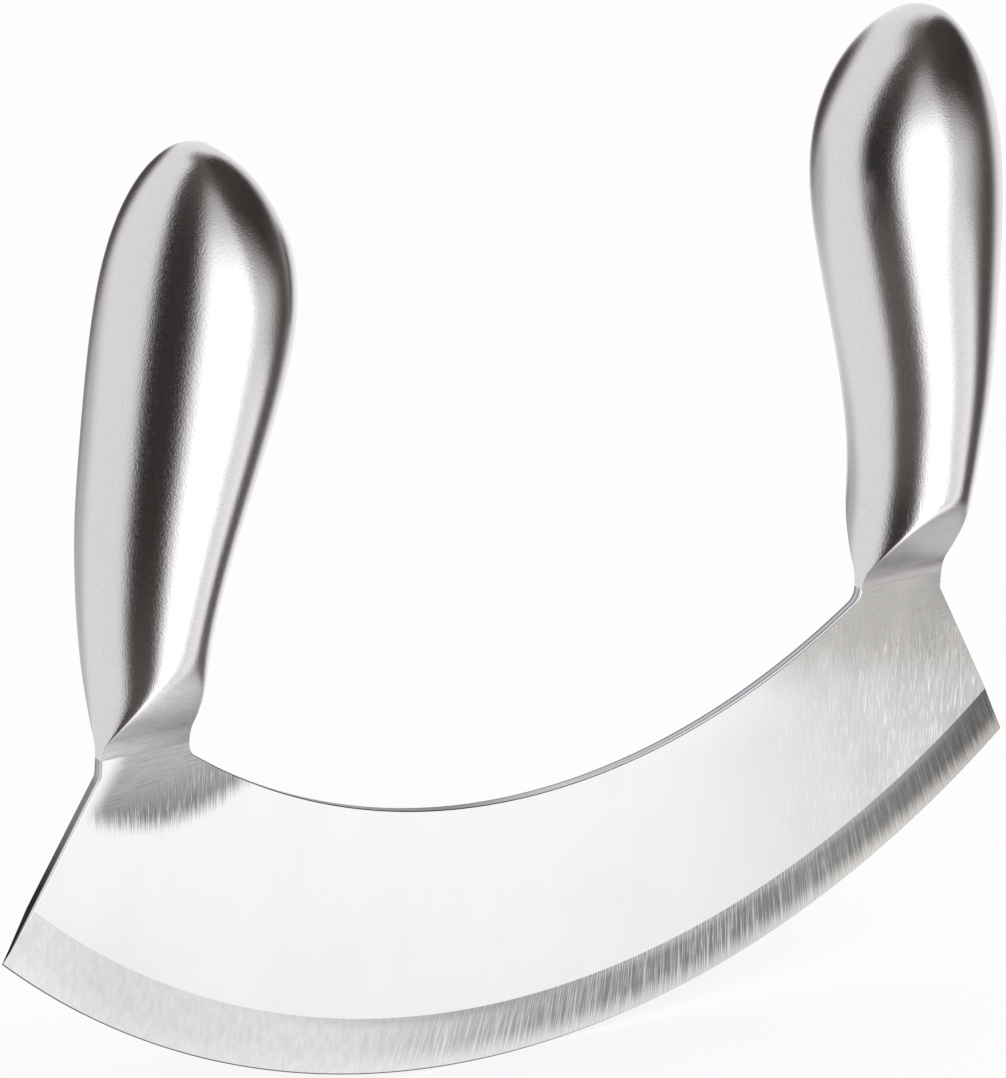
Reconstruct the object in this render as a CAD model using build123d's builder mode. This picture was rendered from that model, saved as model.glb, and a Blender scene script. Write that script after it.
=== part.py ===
"""Mezzaluna: a rocking herb knife with a crescent blade and two upright hollow steel handles.

Frame: +X along the blade, -Y is the front, +Z up through the handles, origin at the lowest point
of the cutting edge. All lengths are in millimetres. The knife is the same left and right.

How it goes together: the crescent blade is cut from sheet with a narrow tang at each end of its
spine. A solid bolster slides over each tang and sits on the blade's shoulders, where it is welded
and ground flush. Two pressed half shells close over the bolster's spigot, with their seam in the
blade's plane. Filler cast round the tang fills the handle, and a plug closes the filling hole.
"""

import os
from math import atan, cos, pi, radians, sin, sqrt, tan

from build123d import *

# Blade
blade_length = 200.0
blade_thickness = 1.7
edge_radius = 164.0
spine_height = 41.5
bevel_width = 9.0
edge_thickness = 0.1

# Ends of the blade, from each tip up and in to the outer corner of the neck
end_run = 16.2
end_rise = 26.2
neck_rise = 2.6
spine_corner_radius = 2.5
spine_corner_land = 0.3

# Tangs, which stand on the blade inside the handles and are ground thinner than the blade
tang_thickness = 1.3
tang_width = 10.0
tang_length = 48.0
tang_corner_radius = 3.0
tang_clearance = 0.1

# Handle form, measured from the neck up
handle_length = 92.4
handle_width = 27.7
handle_depth = 31.6
handle_lean = 5.5
neck_width = 16.7
neck_depth = 19.6

# Bolster, with a cove ground into its front and its back
cove_radius = 5.3
cove_angle = 38.0
collar_height = 5.7
spigot_length = 5.0
spigot_clearance = 0.1

# Shells, filler and plug
shell_wall = 1.2
filler_clearance = 0.1
plug_diameter = 6.0
plug_length = 4.0
plug_drop = 24.0
plug_clearance = 0.05

# Room by which a cutting shape runs past what it cuts
overrun = 2.0

# Handle sections up to the widest one: height as a share of the handle's length, swell as a share
# of the way from the neck's size to the full size, and a share of the lean towards the middle
swell_section_shares = (
    (0.00, 0.000, 0.000),
    (0.08, 0.004, -0.050),
    (0.18, 0.105, -0.170),
    (0.27, 0.273, -0.150),
    (0.36, 0.464, -0.010),
    (0.46, 0.671, 0.250),
    (0.56, 0.859, 0.540),
    (0.69, 1.000, 0.865),
)
# Handle sections above the widest one: height share, share of the full size, and lean share
dome_section_shares = (
    (0.76, 0.982, 0.970),
    (0.82, 0.919, 1.000),
    (0.88, 0.796, 0.970),
    (0.93, 0.628, 0.890),
    (0.97, 0.415, 0.775),
    (0.99, 0.240, 0.695),
    (1.00, 0.030, 0.655),
)

# Places that follow from the sizes above
half_length = blade_length / 2
half_thickness = blade_thickness / 2
tip_height = edge_radius - sqrt(edge_radius**2 - half_length**2)
shoulder_reach = half_length - end_run
shoulder_height = tip_height + end_rise
neck_height = shoulder_height + neck_rise
neck_centre = shoulder_reach - neck_width / 2
neck_inner = shoulder_reach - neck_width
spine_end_slope = 2 * atan((neck_height - spine_height) / neck_inner)
spine_end_drop = spine_corner_land + spine_corner_radius * tan((pi / 2 - spine_end_slope) / 2)
spine_end_height = neck_height - spine_end_drop
cove_slope = tan(radians(cove_angle))
cove_arc_rise = cove_radius * sin(radians(cove_angle))
cove_arc_depth = cove_radius * (1 - cos(radians(cove_angle)))
cove_rise = cove_arc_rise + (neck_depth / 2 - half_thickness - cove_arc_depth) / cove_slope
bolster_top = neck_height + cove_rise + collar_height
spigot_top = bolster_top + spigot_length
handle_top = neck_height + handle_length
plug_height = handle_top - plug_drop

# The knife has one handle at each end, on the -X side and on the +X side
SIDES = (("left", -1), ("right", 1))


def handle_sections(inset):
    """Height, lean, half width and half depth of each section of the form drawn in by inset."""
    length = handle_length - inset
    neck_size = (neck_width / 2 - inset, neck_depth / 2 - inset)
    full_size = (handle_width / 2 - inset, handle_depth / 2 - inset)
    rows = []
    for height_share, swell_share, lean_share in swell_section_shares:
        size = [neck + (full - neck) * swell_share for neck, full in zip(neck_size, full_size)]
        rows.append((neck_height + length * height_share, handle_lean * lean_share, *size))
    for height_share, size_share, lean_share in dome_section_shares:
        size = [full * size_share for full in full_size]
        rows.append((neck_height + length * height_share, handle_lean * lean_share, *size))
    return rows


def handle_form(side, inset):
    """The whole handle as one solid: a loft through level ellipses, from the neck to its domed top."""
    with BuildPart() as form:
        for height, lean, half_width, half_depth in handle_sections(inset):
            with BuildSketch(Plane.XY.offset(height)):
                with Locations((side * (neck_centre - lean), 0)):
                    Ellipse(half_width, half_depth)
        loft()
    return form.part


def handle_band(side, inset, low, high):
    """The slice of the handle's form, drawn in by inset, between two heights."""
    with BuildPart() as band:
        add(handle_form(side, inset))
        split(bisect_by=Plane.XY.offset(low), keep=Keep.TOP)
        split(bisect_by=Plane.XY.offset(high), keep=Keep.BOTTOM)
    return band.part


def tang_pocket(side, top):
    """The room that a tang needs from the neck up to a height, with its clearance all round."""
    with BuildPart() as pocket:
        with BuildSketch(Plane.XY.offset(neck_height)):
            with Locations((side * neck_centre, 0)):
                Rectangle(tang_width + 2 * tang_clearance, tang_thickness + 2 * tang_clearance)
        extrude(amount=top - neck_height)
    return pocket.part


def plug_rod(side, radius, inner_end):
    """A rod along Y at the plug's place, from its inner end out past the back of the handle."""
    rows = handle_sections(0)
    above = next(i for i, row in enumerate(rows) if row[0] > plug_height)
    low, high = rows[above - 1], rows[above]
    lean = low[1] + (high[1] - low[1]) * (plug_height - low[0]) / (high[0] - low[0])
    with BuildPart() as rod:
        with BuildSketch(Plane.XZ.offset(-inner_end)):
            with Locations((side * (neck_centre - lean), plug_height)):
                Circle(radius)
        extrude(amount=inner_end - handle_depth)
    return rod.part


def save(builder, name):
    """Labels a finished piece and writes its file."""
    builder.part.label = name
    export_step(builder.part, f"parts/{name}.step")


os.makedirs("parts", exist_ok=True)

# Blade: one flat crescent with its two tangs, ground to a bevel on both sides of the edge
with BuildPart() as blade:
    with BuildSketch(Plane.XZ):
        with BuildLine():
            ThreePointArc((-half_length, tip_height), (0, 0), (half_length, tip_height))
            ThreePointArc((-neck_inner, spine_end_height), (0, spine_height), (neck_inner, spine_end_height))
            for _, side in SIDES:
                Polyline(
                    (side * half_length, tip_height),
                    (side * shoulder_reach, shoulder_height),
                    (side * shoulder_reach, neck_height),
                    (side * neck_inner, neck_height),
                    (side * neck_inner, spine_end_height),
                )
        make_face()
    extrude(amount=half_thickness, both=True)
    spine_corners = [
        edge
        for edge in edges().filter_by(Axis.Y)
        if abs(edge.center().X) < neck_centre and edge.center().Z < neck_height - spine_end_drop / 2
    ]
    fillet(spine_corners, radius=spine_corner_radius)
    with BuildSketch(Plane.XZ) as tangs:
        with Locations(*[(side * neck_centre, neck_height) for _, side in SIDES]):
            Rectangle(tang_width, tang_length, align=(Align.CENTER, Align.MIN))
        fillet(tangs.vertices().group_by(Axis.Y)[-1], radius=tang_corner_radius)
    extrude(amount=tang_thickness / 2, both=True)
    bevel_slope = (half_thickness - edge_thickness / 2) / bevel_width
    for face in (1, -1):
        with BuildSketch(Plane.YZ):
            with BuildLine():
                Polyline(
                    (face * half_thickness, bevel_width),
                    (face * (edge_thickness / 2 - overrun * bevel_slope), -overrun),
                    (face * (half_thickness + overrun), -overrun),
                    (face * (half_thickness + overrun), bevel_width),
                    close=True,
                )
            make_face()
        revolve(axis=Axis((0, 0, edge_radius), (0, 1, 0)), mode=Mode.SUBTRACT)
save(blade, "blade")

for side_name, side in SIDES:
    # Bolster: as thick as the blade at its foot, with a cove at front and back up to the grip
    with BuildPart() as bolster:
        add(handle_band(side, 0, neck_height, bolster_top))
        for face in (1, -1):
            with BuildSketch(Plane.YZ.offset(side * neck_centre)):
                with BuildLine():
                    foot = (face * half_thickness, neck_height)
                    arc_end = (face * (half_thickness + cove_arc_depth), neck_height + cove_arc_rise)
                    outside = half_thickness + cove_arc_depth + (bolster_top - arc_end[1]) * cove_slope
                    RadiusArc(foot, arc_end, face * cove_radius)
                    Polyline(
                        arc_end,
                        (face * outside, bolster_top),
                        (face * outside, neck_height - overrun),
                        (face * half_thickness, neck_height - overrun),
                        foot,
                    )
                make_face()
            extrude(amount=handle_width, both=True, mode=Mode.SUBTRACT)
        add(handle_band(side, shell_wall + spigot_clearance, bolster_top, spigot_top))
        add(tang_pocket(side, spigot_top + overrun), mode=Mode.SUBTRACT)
    save(bolster, f"{side_name}_bolster")

    # Half shells: pressed walls that meet in the blade's plane and stand on the bolster's collar
    for face_name, kept in (("front", Keep.TOP), ("back", Keep.BOTTOM)):
        with BuildPart() as shell:
            add(handle_band(side, 0, bolster_top, handle_top + overrun))
            add(handle_form(side, shell_wall), mode=Mode.SUBTRACT)
            split(bisect_by=Plane.XZ, keep=kept)
            if face_name == "back":
                add(plug_rod(side, plug_diameter / 2 + plug_clearance, 0), mode=Mode.SUBTRACT)
        save(shell, f"{side_name}_{face_name}_shell")

    # Filler: cast round the tang, with a recess for the plug's end
    plug_inner_end = handle_depth / 2 - plug_length
    with BuildPart() as filler:
        filler_inset = shell_wall + filler_clearance
        add(handle_band(side, filler_inset, spigot_top + filler_clearance, handle_top))
        add(tang_pocket(side, neck_height + tang_length + tang_clearance), mode=Mode.SUBTRACT)
        recess_end = plug_inner_end - filler_clearance
        add(plug_rod(side, plug_diameter / 2 + filler_clearance, recess_end), mode=Mode.SUBTRACT)
    save(filler, f"{side_name}_filler")

    # Plug: a short round pin in the back shell, ground to the handle's own surface
    with BuildPart() as plug:
        add(plug_rod(side, plug_diameter / 2, plug_inner_end))
        add(handle_form(side, 0), mode=Mode.INTERSECT)
    save(plug, f"{side_name}_fill_plug")
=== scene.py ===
"""Dresses a two-handled herb chopper in satin steel and sets it in a plain pale studio.

The crescent blade, the bolsters, the handle shells and their fill plugs are smooth surfaces worked
out from a few sizes in millimetres, in the frame of the construction model: +X along the blade,
-Y the front, +Z up through the handles, origin at the lowest point of the cutting edge.
"""

import logging
import math
from collections.abc import Mapping, Sequence
from dataclasses import dataclass, field
from enum import Enum
from functools import cached_property
from typing import Any

import bpy
import numpy as np
from mathutils import Matrix, Vector


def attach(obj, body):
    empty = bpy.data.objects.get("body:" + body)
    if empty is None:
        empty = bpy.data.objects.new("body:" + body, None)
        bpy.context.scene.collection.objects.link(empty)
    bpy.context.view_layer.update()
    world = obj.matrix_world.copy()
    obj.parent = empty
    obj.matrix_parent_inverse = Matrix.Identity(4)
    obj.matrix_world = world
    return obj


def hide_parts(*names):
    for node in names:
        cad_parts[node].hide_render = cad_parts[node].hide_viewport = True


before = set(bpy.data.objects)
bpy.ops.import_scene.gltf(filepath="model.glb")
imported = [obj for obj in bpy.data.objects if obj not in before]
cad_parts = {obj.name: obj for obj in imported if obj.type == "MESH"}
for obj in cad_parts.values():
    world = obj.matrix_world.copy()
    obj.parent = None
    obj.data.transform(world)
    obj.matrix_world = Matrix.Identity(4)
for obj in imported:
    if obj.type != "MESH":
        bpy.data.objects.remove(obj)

Array = np.ndarray
Span = tuple[float, float]
Colour = tuple[float, float, float]

# One millimetre in metres. Lengths below are in millimetres unless they say otherwise
MILLIMETRE = 0.001
# Points that round to the same place on a grid this fine are one point
WELD_GRID = 1e-4
# How far from the knife's middle the finishes pass from the left half's to the right half's
MIDDLE_BLEND = 1.0
# Places in the table from which runs are read
RUN_TABLE_SIZE = 20001
# Columns of faces round a whole handle
COLUMNS_ROUND = 360
# Rows of points over the bevel
BEVEL_ROWS = 13
UP = np.array([0.0, 0.0, 1.0])
BODY = "root"

log = logging.getLogger("mezzaluna")


class Side(Enum):
    """The two handles, by the sign of X."""

    LEFT = -1
    RIGHT = 1

    @property
    def label(self) -> str:
        """The side as it stands in the names of pieces."""
        return self.name.lower()


class Face(Enum):
    """The two broad sides of the knife, by the sign of Y."""

    FRONT = -1
    BACK = 1

    @property
    def label(self) -> str:
        """The face as it stands in the names of pieces."""
        return self.name.lower()


# Surfaces


@dataclass
class Patch:
    """A grid of points with the direction that faces outwards at each.

    Attributes:
        points: Rows by columns by 3, in millimetres.
        normals: One direction for each point, or one for the whole patch.
        dropped: True for each cell of the grid that is left out, or None.
        finish: Which of the piece's materials the patch takes.
        ground: How far the surface was ground by hand at each point, 0 to 1.
    """

    points: Array
    normals: Array
    dropped: Array | None = None
    finish: int = 0
    ground: Array | float = 0.0

    def cells(self) -> Array:
        """Numbers the corners of the grid's cells, without the dropped ones.

        Returns:
            Four numbers for each cell.
        """
        rows, columns = self.points.shape[:2]
        index = np.arange(rows * columns).reshape(rows, columns)
        corners = np.stack([index[:-1, :-1], index[:-1, 1:], index[1:, 1:], index[1:, :-1]], -1)
        return corners[~self.dropped] if self.dropped is not None else corners.reshape(-1, 4)


def unit(vectors: Array) -> Array:
    """Vectors scaled to length one, where they have a length."""
    length = np.linalg.norm(vectors, axis=-1, keepdims=True)
    return vectors / np.where(length > 0, length, 1.0)


def blend(start: Array, end: Array, count: int = 2) -> Array:
    """Rows that go in equal steps from one row of points to another: (1 - w) start + w end."""
    share = np.linspace(0.0, 1.0, count)[:, None, None]
    return (1.0 - share) * start + share * end


def smooth_step(value: Array, low: float, high: float) -> Array:
    """Zero below low, one above high, and 3s² - 2s³ of the share s between them."""
    share = np.clip((value - low) / (high - low), 0.0, 1.0)
    return share * share * (3.0 - 2.0 * share)


def make_piece(
    name: str, patches: Sequence[Patch], finishes: Sequence[bpy.types.Material]
) -> bpy.types.Object:
    """Joins patches into one closed mesh with its own smooth normals.

    Points that fall together are welded, cells that close to a point become triangles, and each
    face is turned so that it looks the way its patch's normals do.

    Args:
        name: The piece's name.
        patches: The surfaces that bound it.
        finishes: Its materials, in the order that the patches number them.

    Returns:
        The new object, linked to the scene.
    """
    points = np.concatenate([p.points.reshape(-1, 3) for p in patches])
    normals = np.concatenate([np.broadcast_to(p.normals, p.points.shape).reshape(-1, 3) for p in patches])
    ground = np.concatenate([np.broadcast_to(p.ground, p.points.shape[:2]).ravel() for p in patches])
    starts = np.cumsum([0] + [p.points.shape[0] * p.points.shape[1] for p in patches[:-1]])
    cells = [p.cells() + start for p, start in zip(patches, starts)]
    finish = np.concatenate([np.full(len(c), p.finish) for p, c in zip(patches, cells)])
    cells = np.concatenate(cells)

    diagonal = np.cross(points[cells[:, 2]] - points[cells[:, 0]], points[cells[:, 3]] - points[cells[:, 1]])
    inward = (diagonal * normals[cells].sum(1)).sum(1) < 0
    cells[inward] = cells[inward][:, ::-1]

    keys = np.round(points / WELD_GRID).astype(np.int64)
    _, first, welded = np.unique(keys, axis=0, return_index=True, return_inverse=True)
    welded = welded.ravel()
    corners = welded[cells]
    distinct = corners != np.roll(corners, 1, axis=1)
    sound = distinct.sum(1) > 2
    corners, cells, distinct, finish = corners[sound], cells[sound], distinct[sound], finish[sound]

    mesh = bpy.data.meshes.new(name)
    mesh.vertices.add(len(first))
    mesh.vertices.foreach_set("co", (points[first] * MILLIMETRE).astype(np.float32).ravel())
    mesh.loops.add(int(distinct.sum()))
    mesh.loops.foreach_set("vertex_index", corners[distinct].astype(np.int32))
    mesh.polygons.add(len(corners))
    sizes = distinct.sum(1)
    mesh.polygons.foreach_set("loop_start", (np.cumsum(sizes) - sizes).astype(np.int32))
    mesh.polygons.foreach_set("material_index", finish.astype(np.int32))
    mesh.polygons.foreach_set("use_smooth", np.ones(len(corners), bool))
    mesh.update(calc_edges=True)
    attribute = mesh.attributes.new("ground", "FLOAT", "POINT")
    attribute.data.foreach_set("value", ground[first].astype(np.float32))
    mesh.normals_split_custom_set(unit(normals[cells[distinct]]).astype(np.float32))
    for material in finishes:
        mesh.materials.append(material)
    piece = bpy.data.objects.new(name, mesh)
    bpy.context.scene.collection.objects.link(piece)
    return piece


def seat_piece(piece: bpy.types.Object, node: str) -> None:
    """Lets a piece ride on the knife in the place of a construction node.

    Args:
        piece: The dressed piece.
        node: The node that it stands for.
    """
    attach(piece, BODY)
    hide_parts(node)
    log.info("%s: %d faces", piece.name, len(piece.data.polygons))


class CubicCurve:
    """A cubic spline through rows of values, free at its first knot and free or level at its last."""

    def __init__(self, knots: Array, values: Array, level_end: Sequence[bool]) -> None:
        """Solves each column's second derivatives from the continuity of its slope.

        Args:
            knots: Rising places along the curve.
            values: One row of values for each knot.
            level_end: For each column, whether its slope is zero at the last knot.
        """
        steps = np.diff(knots)
        rises = np.diff(values, axis=0) / steps[:, None]
        system = np.diag(np.r_[1.0, 2.0 * (steps[:-1] + steps[1:]), 1.0])
        system += np.diag(np.r_[0.0, steps[1:]], 1) + np.diag(np.r_[steps[:-1], 0.0], -1)
        sums = 6.0 * np.diff(rises, axis=0)
        bends = []
        for column, level in enumerate(level_end):
            matrix = system.copy()
            target = np.r_[0.0, sums[:, column], 0.0]
            if level:
                matrix[-1, -2:] = steps[-1], 2.0 * steps[-1]
                target[-1] = -6.0 * rises[-1, column]
            bends.append(np.linalg.solve(matrix, target))
        self.knots, self.values, self.bends = knots, values, np.stack(bends, -1)

    def __call__(self, place: Array) -> Array:
        """The values at each place, by the cubic between the two knots around it.

        Args:
            place: Places along the curve.

        Returns:
            One row of values for each place.
        """
        right = np.clip(np.searchsorted(self.knots, place), 1, len(self.knots) - 1)
        left = right - 1
        step = self.knots[right] - self.knots[left]
        after = ((place - self.knots[left]) / step)[..., None]
        before = 1.0 - after
        bend = (before**3 - before) * self.bends[left] + (after**3 - after) * self.bends[right]
        return before * self.values[left] + after * self.values[right] + bend * (step**2 / 6.0)[..., None]


# The handles' form


@dataclass
class HandleForm:
    """The outer form of one handle: level ellipses that swell, lean inwards and close in a dome.

    Attributes:
        side: Which handle it is.
        inset: How far the form is drawn in from the handle's outside.
        crest_sharpness: How crisp the cove's upper edge is. A higher power is crisper.
        grip_skew: How far the level sections are pressed askew by hand forming, at the neck, above
            it and at the belly, as shares of their size.
        skew_turn: The turn whose two sides the skew presses in and out, in radians.
        skew_foot: The rises above the neck between which the skew sets in. In the next two it passes
            on to the next share, and from the last rise it fades out.
        neck_centre: How far the neck's middle stands from the knife's.
        lean: How far the handle leans towards the knife's middle.
        cove_angle: The angle of the coves' slope from upright, in degrees.
        ground_band: How near a point comes to the cove's depth to be ground a little and fully.
        swell_shares: Up to the widest section: the height as a share of the length, the swell as a
            share of the way from the neck's size to the full size, and a share of the lean.
        dome_shares: Above it: the height's share, the share of the full size, and the lean's share.
    """

    side: Side
    inset: float = 0.0
    crest_sharpness: float = 12.0
    grip_skew: tuple[float, float, float] = (0.0, 0.0, 0.0)
    skew_turn: float = math.radians(-130.0)
    skew_foot: Span = (0.0, 10.0)
    skew_low: Span = (12.0, 26.0)
    skew_belly: Span = (24.0, 64.0)
    skew_end: float = 70.0
    neck_height: float = 62.8
    neck_centre: float = 75.45
    length: float = 92.4
    width: float = 27.7
    depth: float = 31.6
    neck_width: float = 16.7
    neck_depth: float = 19.6
    lean: float = 5.5
    foot_half_thickness: float = 0.85
    cove_radius: float = 5.3
    cove_angle: float = 38.0
    ground_band: Span = (0.90, 0.985)
    swell_shares: tuple[tuple[float, float, float], ...] = (
        (0.00, 0.000, 0.000),
        (0.08, 0.004, -0.050),
        (0.18, 0.105, -0.170),
        (0.27, 0.273, -0.150),
        (0.36, 0.464, -0.010),
        (0.46, 0.671, 0.250),
        (0.56, 0.859, 0.540),
        (0.69, 1.000, 0.865),
    )
    dome_shares: tuple[tuple[float, float, float], ...] = (
        (0.76, 0.982, 0.970),
        (0.82, 0.919, 1.000),
        (0.88, 0.796, 0.970),
        (0.93, 0.628, 0.890),
        (0.97, 0.415, 0.775),
        (0.99, 0.240, 0.695),
        (1.00, 0.000, 0.655),
    )

    @cached_property
    def curve(self) -> CubicCurve:
        """The handle's side from the neck to the pole.

        Returns:
            The curve of its height, lean, half width and half depth.
        """
        full = np.array([self.width, self.depth]) / 2.0 - self.inset
        neck = np.array([self.neck_width, self.neck_depth]) / 2.0 - self.inset
        swell, dome = np.array(self.swell_shares), np.array(self.dome_shares)
        sizes = np.concatenate([neck + swell[:, 1:2] * (full - neck), dome[:, 1:2] * full])
        shares = np.concatenate([swell, dome])
        heights = self.neck_height + shares[:, 0] * (self.length - self.inset)
        rows = np.column_stack([heights, self.lean * shares[:, 2], sizes])
        knots = np.r_[0.0, np.cumsum(np.hypot(np.diff(heights), np.diff(sizes[:, 1])))]
        return CubicCurve(knots, rows, (True, True, False, False))

    @property
    def pole(self) -> float:
        """The place of the dome's top along the curve."""
        return float(self.curve.knots[-1])

    def run_at(self, height: Array | float) -> Array:
        """The place along the curve where the form reaches a height, read from a fine table."""
        runs = np.linspace(0.0, self.pole, RUN_TABLE_SIZE)
        return np.interp(height, self.curve(runs)[:, 0], runs)

    def cove_depth(self, height: Array) -> Array:
        """How far from the blade's plane the coves let the surface come at a height.

        A round groove rises from the blade's face, and a straight slope carries on from it at the
        cove's angle.

        Args:
            height: The heights.

        Returns:
            One distance for each.
        """
        angle = math.radians(self.cove_angle)
        rise = np.maximum(height - self.neck_height, 0.0)
        arc_rise = np.minimum(rise, self.cove_radius * math.sin(angle))
        groove = self.cove_radius - np.sqrt(self.cove_radius**2 - arc_rise**2)
        return self.foot_half_thickness + groove + (rise - arc_rise) * math.tan(angle)

    def skew(self, height: Array, turn: Array) -> Array:
        """The factor that presses a section askew: 1 + share * sin(2 (turn - skew turn)).

        The share rises from nothing at the foot to its value at the neck, passes over to its value
        above the neck and then to its value at the belly, and fades out at the dome's top.

        Args:
            height: The points' heights.
            turn: The points' turns about the handle's axis.

        Returns:
            One factor for each point.
        """
        neck_share, low_share, belly_share = self.grip_skew
        rise = height - self.neck_height
        belly = smooth_step(rise, *self.skew_belly)
        share = neck_share + (low_share - neck_share) * smooth_step(rise, *self.skew_low)
        share = share * smooth_step(rise, *self.skew_foot) * (1.0 - belly)
        share = share + belly_share * belly * (1.0 - smooth_step(rise, self.skew_end, self.length))
        return 1.0 + share * np.sin(2.0 * (turn - self.skew_turn))

    def point(self, run: Array, turn: Array) -> Array:
        """Points of the surface.

        x is the centre plus the half width times the cosine of the turn. y is the half depth times
        its sine, pressed under the cove's depth L by y / (1 + |y / L|^p)^(1/p). Both sizes are
        scaled by the skew.

        Args:
            run: Places along the handle's side.
            turn: Turns about its upright axis, in radians, from +X towards +Y.

        Returns:
            One point for each pair.
        """
        height, lean, half_width, half_depth = np.moveaxis(self.curve(run), -1, 0)
        if not self.inset:
            skew = self.skew(height, turn)
            half_width, half_depth = half_width * skew, half_depth * skew
        y = half_depth * np.sin(turn)
        if not self.inset:
            power = self.crest_sharpness
            y = y / (1.0 + np.abs(y / self.cove_depth(height)) ** power) ** (1.0 / power)
        x = self.side.value * (self.neck_centre - lean) + half_width * np.cos(turn)
        return np.stack([x, y, height], -1)

    def normal(self, run: Array, turn: Array) -> Array:
        """Outward directions: the cross product of the two tangents, found by small differences.

        Args:
            run: Places along the handle's side.
            turn: Turns about its axis.

        Returns:
            One direction for each pair.
        """
        step = 1e-4
        inner = np.minimum(run, self.pole - step)
        along = self.point(inner + step, turn) - self.point(inner - step, turn)
        around = self.point(inner, turn + step) - self.point(inner, turn - step)
        at_pole = (run > self.pole - 2.0 * step)[..., None]
        return np.where(at_pole, (0.0, 0.0, 1.0), unit(np.cross(around, along)))

    def patch(self, run: Array, turn: Array, outward: int = 1, dropped: Array | None = None) -> Patch:
        """The surface over a grid of runs and turns.

        Args:
            run: Places along the side, as a grid.
            turn: Turns about the axis, as a grid of the same shape.
            outward: 1 where the surface bounds the solid from outside, -1 where it is a hollow's wall.
            dropped: Cells to leave out.

        Returns:
            The patch, with the ground share of its coves.
        """
        points = self.point(run, turn)
        closeness = np.abs(points[..., 1]) / self.cove_depth(points[..., 2])
        ground = smooth_step(closeness, *self.ground_band)
        return Patch(points, outward * self.normal(run, turn), dropped, ground=ground)

    def ring(self, height: float, turn: Array) -> Array:
        """One level ring of points at a height."""
        return self.point(np.full_like(turn, self.run_at(height)), turn)


@dataclass(frozen=True)
class HandleSizes:
    """Heights and clearances that a handle's pieces share.

    Attributes:
        bolster_top: The height of the bolster's collar, on which the shells stand.
        plug_height: The height of the filling hole's axis.
        plug_length: How far the plug reaches in from the depth of the widest section.
        hole_margin: How far beyond the plug the shell's cells give way to the hole's own.
    """

    bolster_top: float = 81.84
    spigot_length: float = 5.0
    spigot_clearance: float = 0.1
    shell_wall: float = 1.2
    slot_width: float = 10.2
    slot_depth: float = 1.5
    plug_height: float = 131.2
    plug_radius: float = 3.0
    plug_clearance: float = 0.05
    plug_length: float = 4.0
    plug_chamfer: float = 0.08
    hole_margin: float = 2.6

    @property
    def spigot_top(self) -> float:
        """The height of the spigot's end inside the shells."""
        return self.bolster_top + self.spigot_length


# The two handles were finished by hand, so their crests and sections differ a little
CREST_SHARPNESS = {Side.LEFT: 8.0, Side.RIGHT: 18.0}
GRIP_SKEW = {Side.LEFT: (0.062, 0.062, 0.0), Side.RIGHT: (0.050, 0.020, -0.045)}


def outer_form(side: Side) -> HandleForm:
    """The outside of one handle."""
    return HandleForm(side, crest_sharpness=CREST_SHARPNESS[side], grip_skew=GRIP_SKEW[side])


@dataclass
class Bolster:
    """A solid neck piece between the blade's shoulder and the hollow grip.

    Attributes:
        side: Which handle it belongs to.
        sizes: The handle's shared sizes.
        rows: How many rows of faces its outside has.
        spigot_rows: How many rows of points its spigot has.
    """

    side: Side
    sizes: HandleSizes = field(default_factory=HandleSizes)
    rows: int = 96
    spigot_rows: int = 4

    def slot_ring(self, height: float, turn: Array) -> Array:
        """The tang's slot at a height: a ray at each turn, stopped by the nearer wall of a rectangle.

        Args:
            height: The height.
            turn: The rays' turns about the handle's axis.

        Returns:
            One point for each turn.
        """
        form = outer_form(self.side)
        tiny = 1e-12
        sine, cosine = np.abs(np.sin(turn)) + tiny, np.abs(np.cos(turn)) + tiny
        reach = np.minimum(self.sizes.slot_width / 2.0 / cosine, self.sizes.slot_depth / 2.0 / sine)
        x = self.side.value * form.neck_centre + reach * np.cos(turn)
        return np.stack([x, reach * np.sin(turn), np.full_like(turn, height)], -1)

    def patches(self) -> list[Patch]:
        """The outside with its coves, the foot, the collar's ledge, the spigot and the tang's slot.

        Returns:
            The patches, which close round the solid.
        """
        form = outer_form(self.side)
        spigot = HandleForm(self.side, inset=self.sizes.shell_wall + self.sizes.spigot_clearance)
        top, spigot_top = self.sizes.bolster_top, self.sizes.spigot_top
        turn = np.linspace(0.0, 2.0 * math.pi, COLUMNS_ROUND + 1)
        runs = np.linspace(0.0, form.run_at(top), self.rows + 1)
        run_grid, turn_grid = np.meshgrid(runs, turn, indexing="ij")
        outside = form.patch(run_grid, turn_grid)
        foot_slot = self.slot_ring(form.neck_height, turn)
        top_slot = self.slot_ring(spigot_top, turn)
        round_out = np.stack([np.cos(turn), np.sin(turn), np.zeros_like(turn)], -1)
        ledge, spigot_end = spigot.ring(top, turn), spigot.ring(spigot_top, turn)
        return [
            outside,
            Patch(blend(outside.points[0], foot_slot), -UP),
            Patch(blend(outside.points[-1], ledge), UP),
            Patch(blend(ledge, spigot_end, self.spigot_rows), round_out),
            Patch(blend(spigot_end, top_slot), UP),
            Patch(blend(top_slot, foot_slot), -round_out),
        ]

    def build(self, finish: bpy.types.Material) -> None:
        """Makes the piece in its finish and seats it in place of its node."""
        name = f"{self.side.label}_bolster"
        seat_piece(make_piece(f"{name}_ground", self.patches(), [finish]), name)


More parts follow.
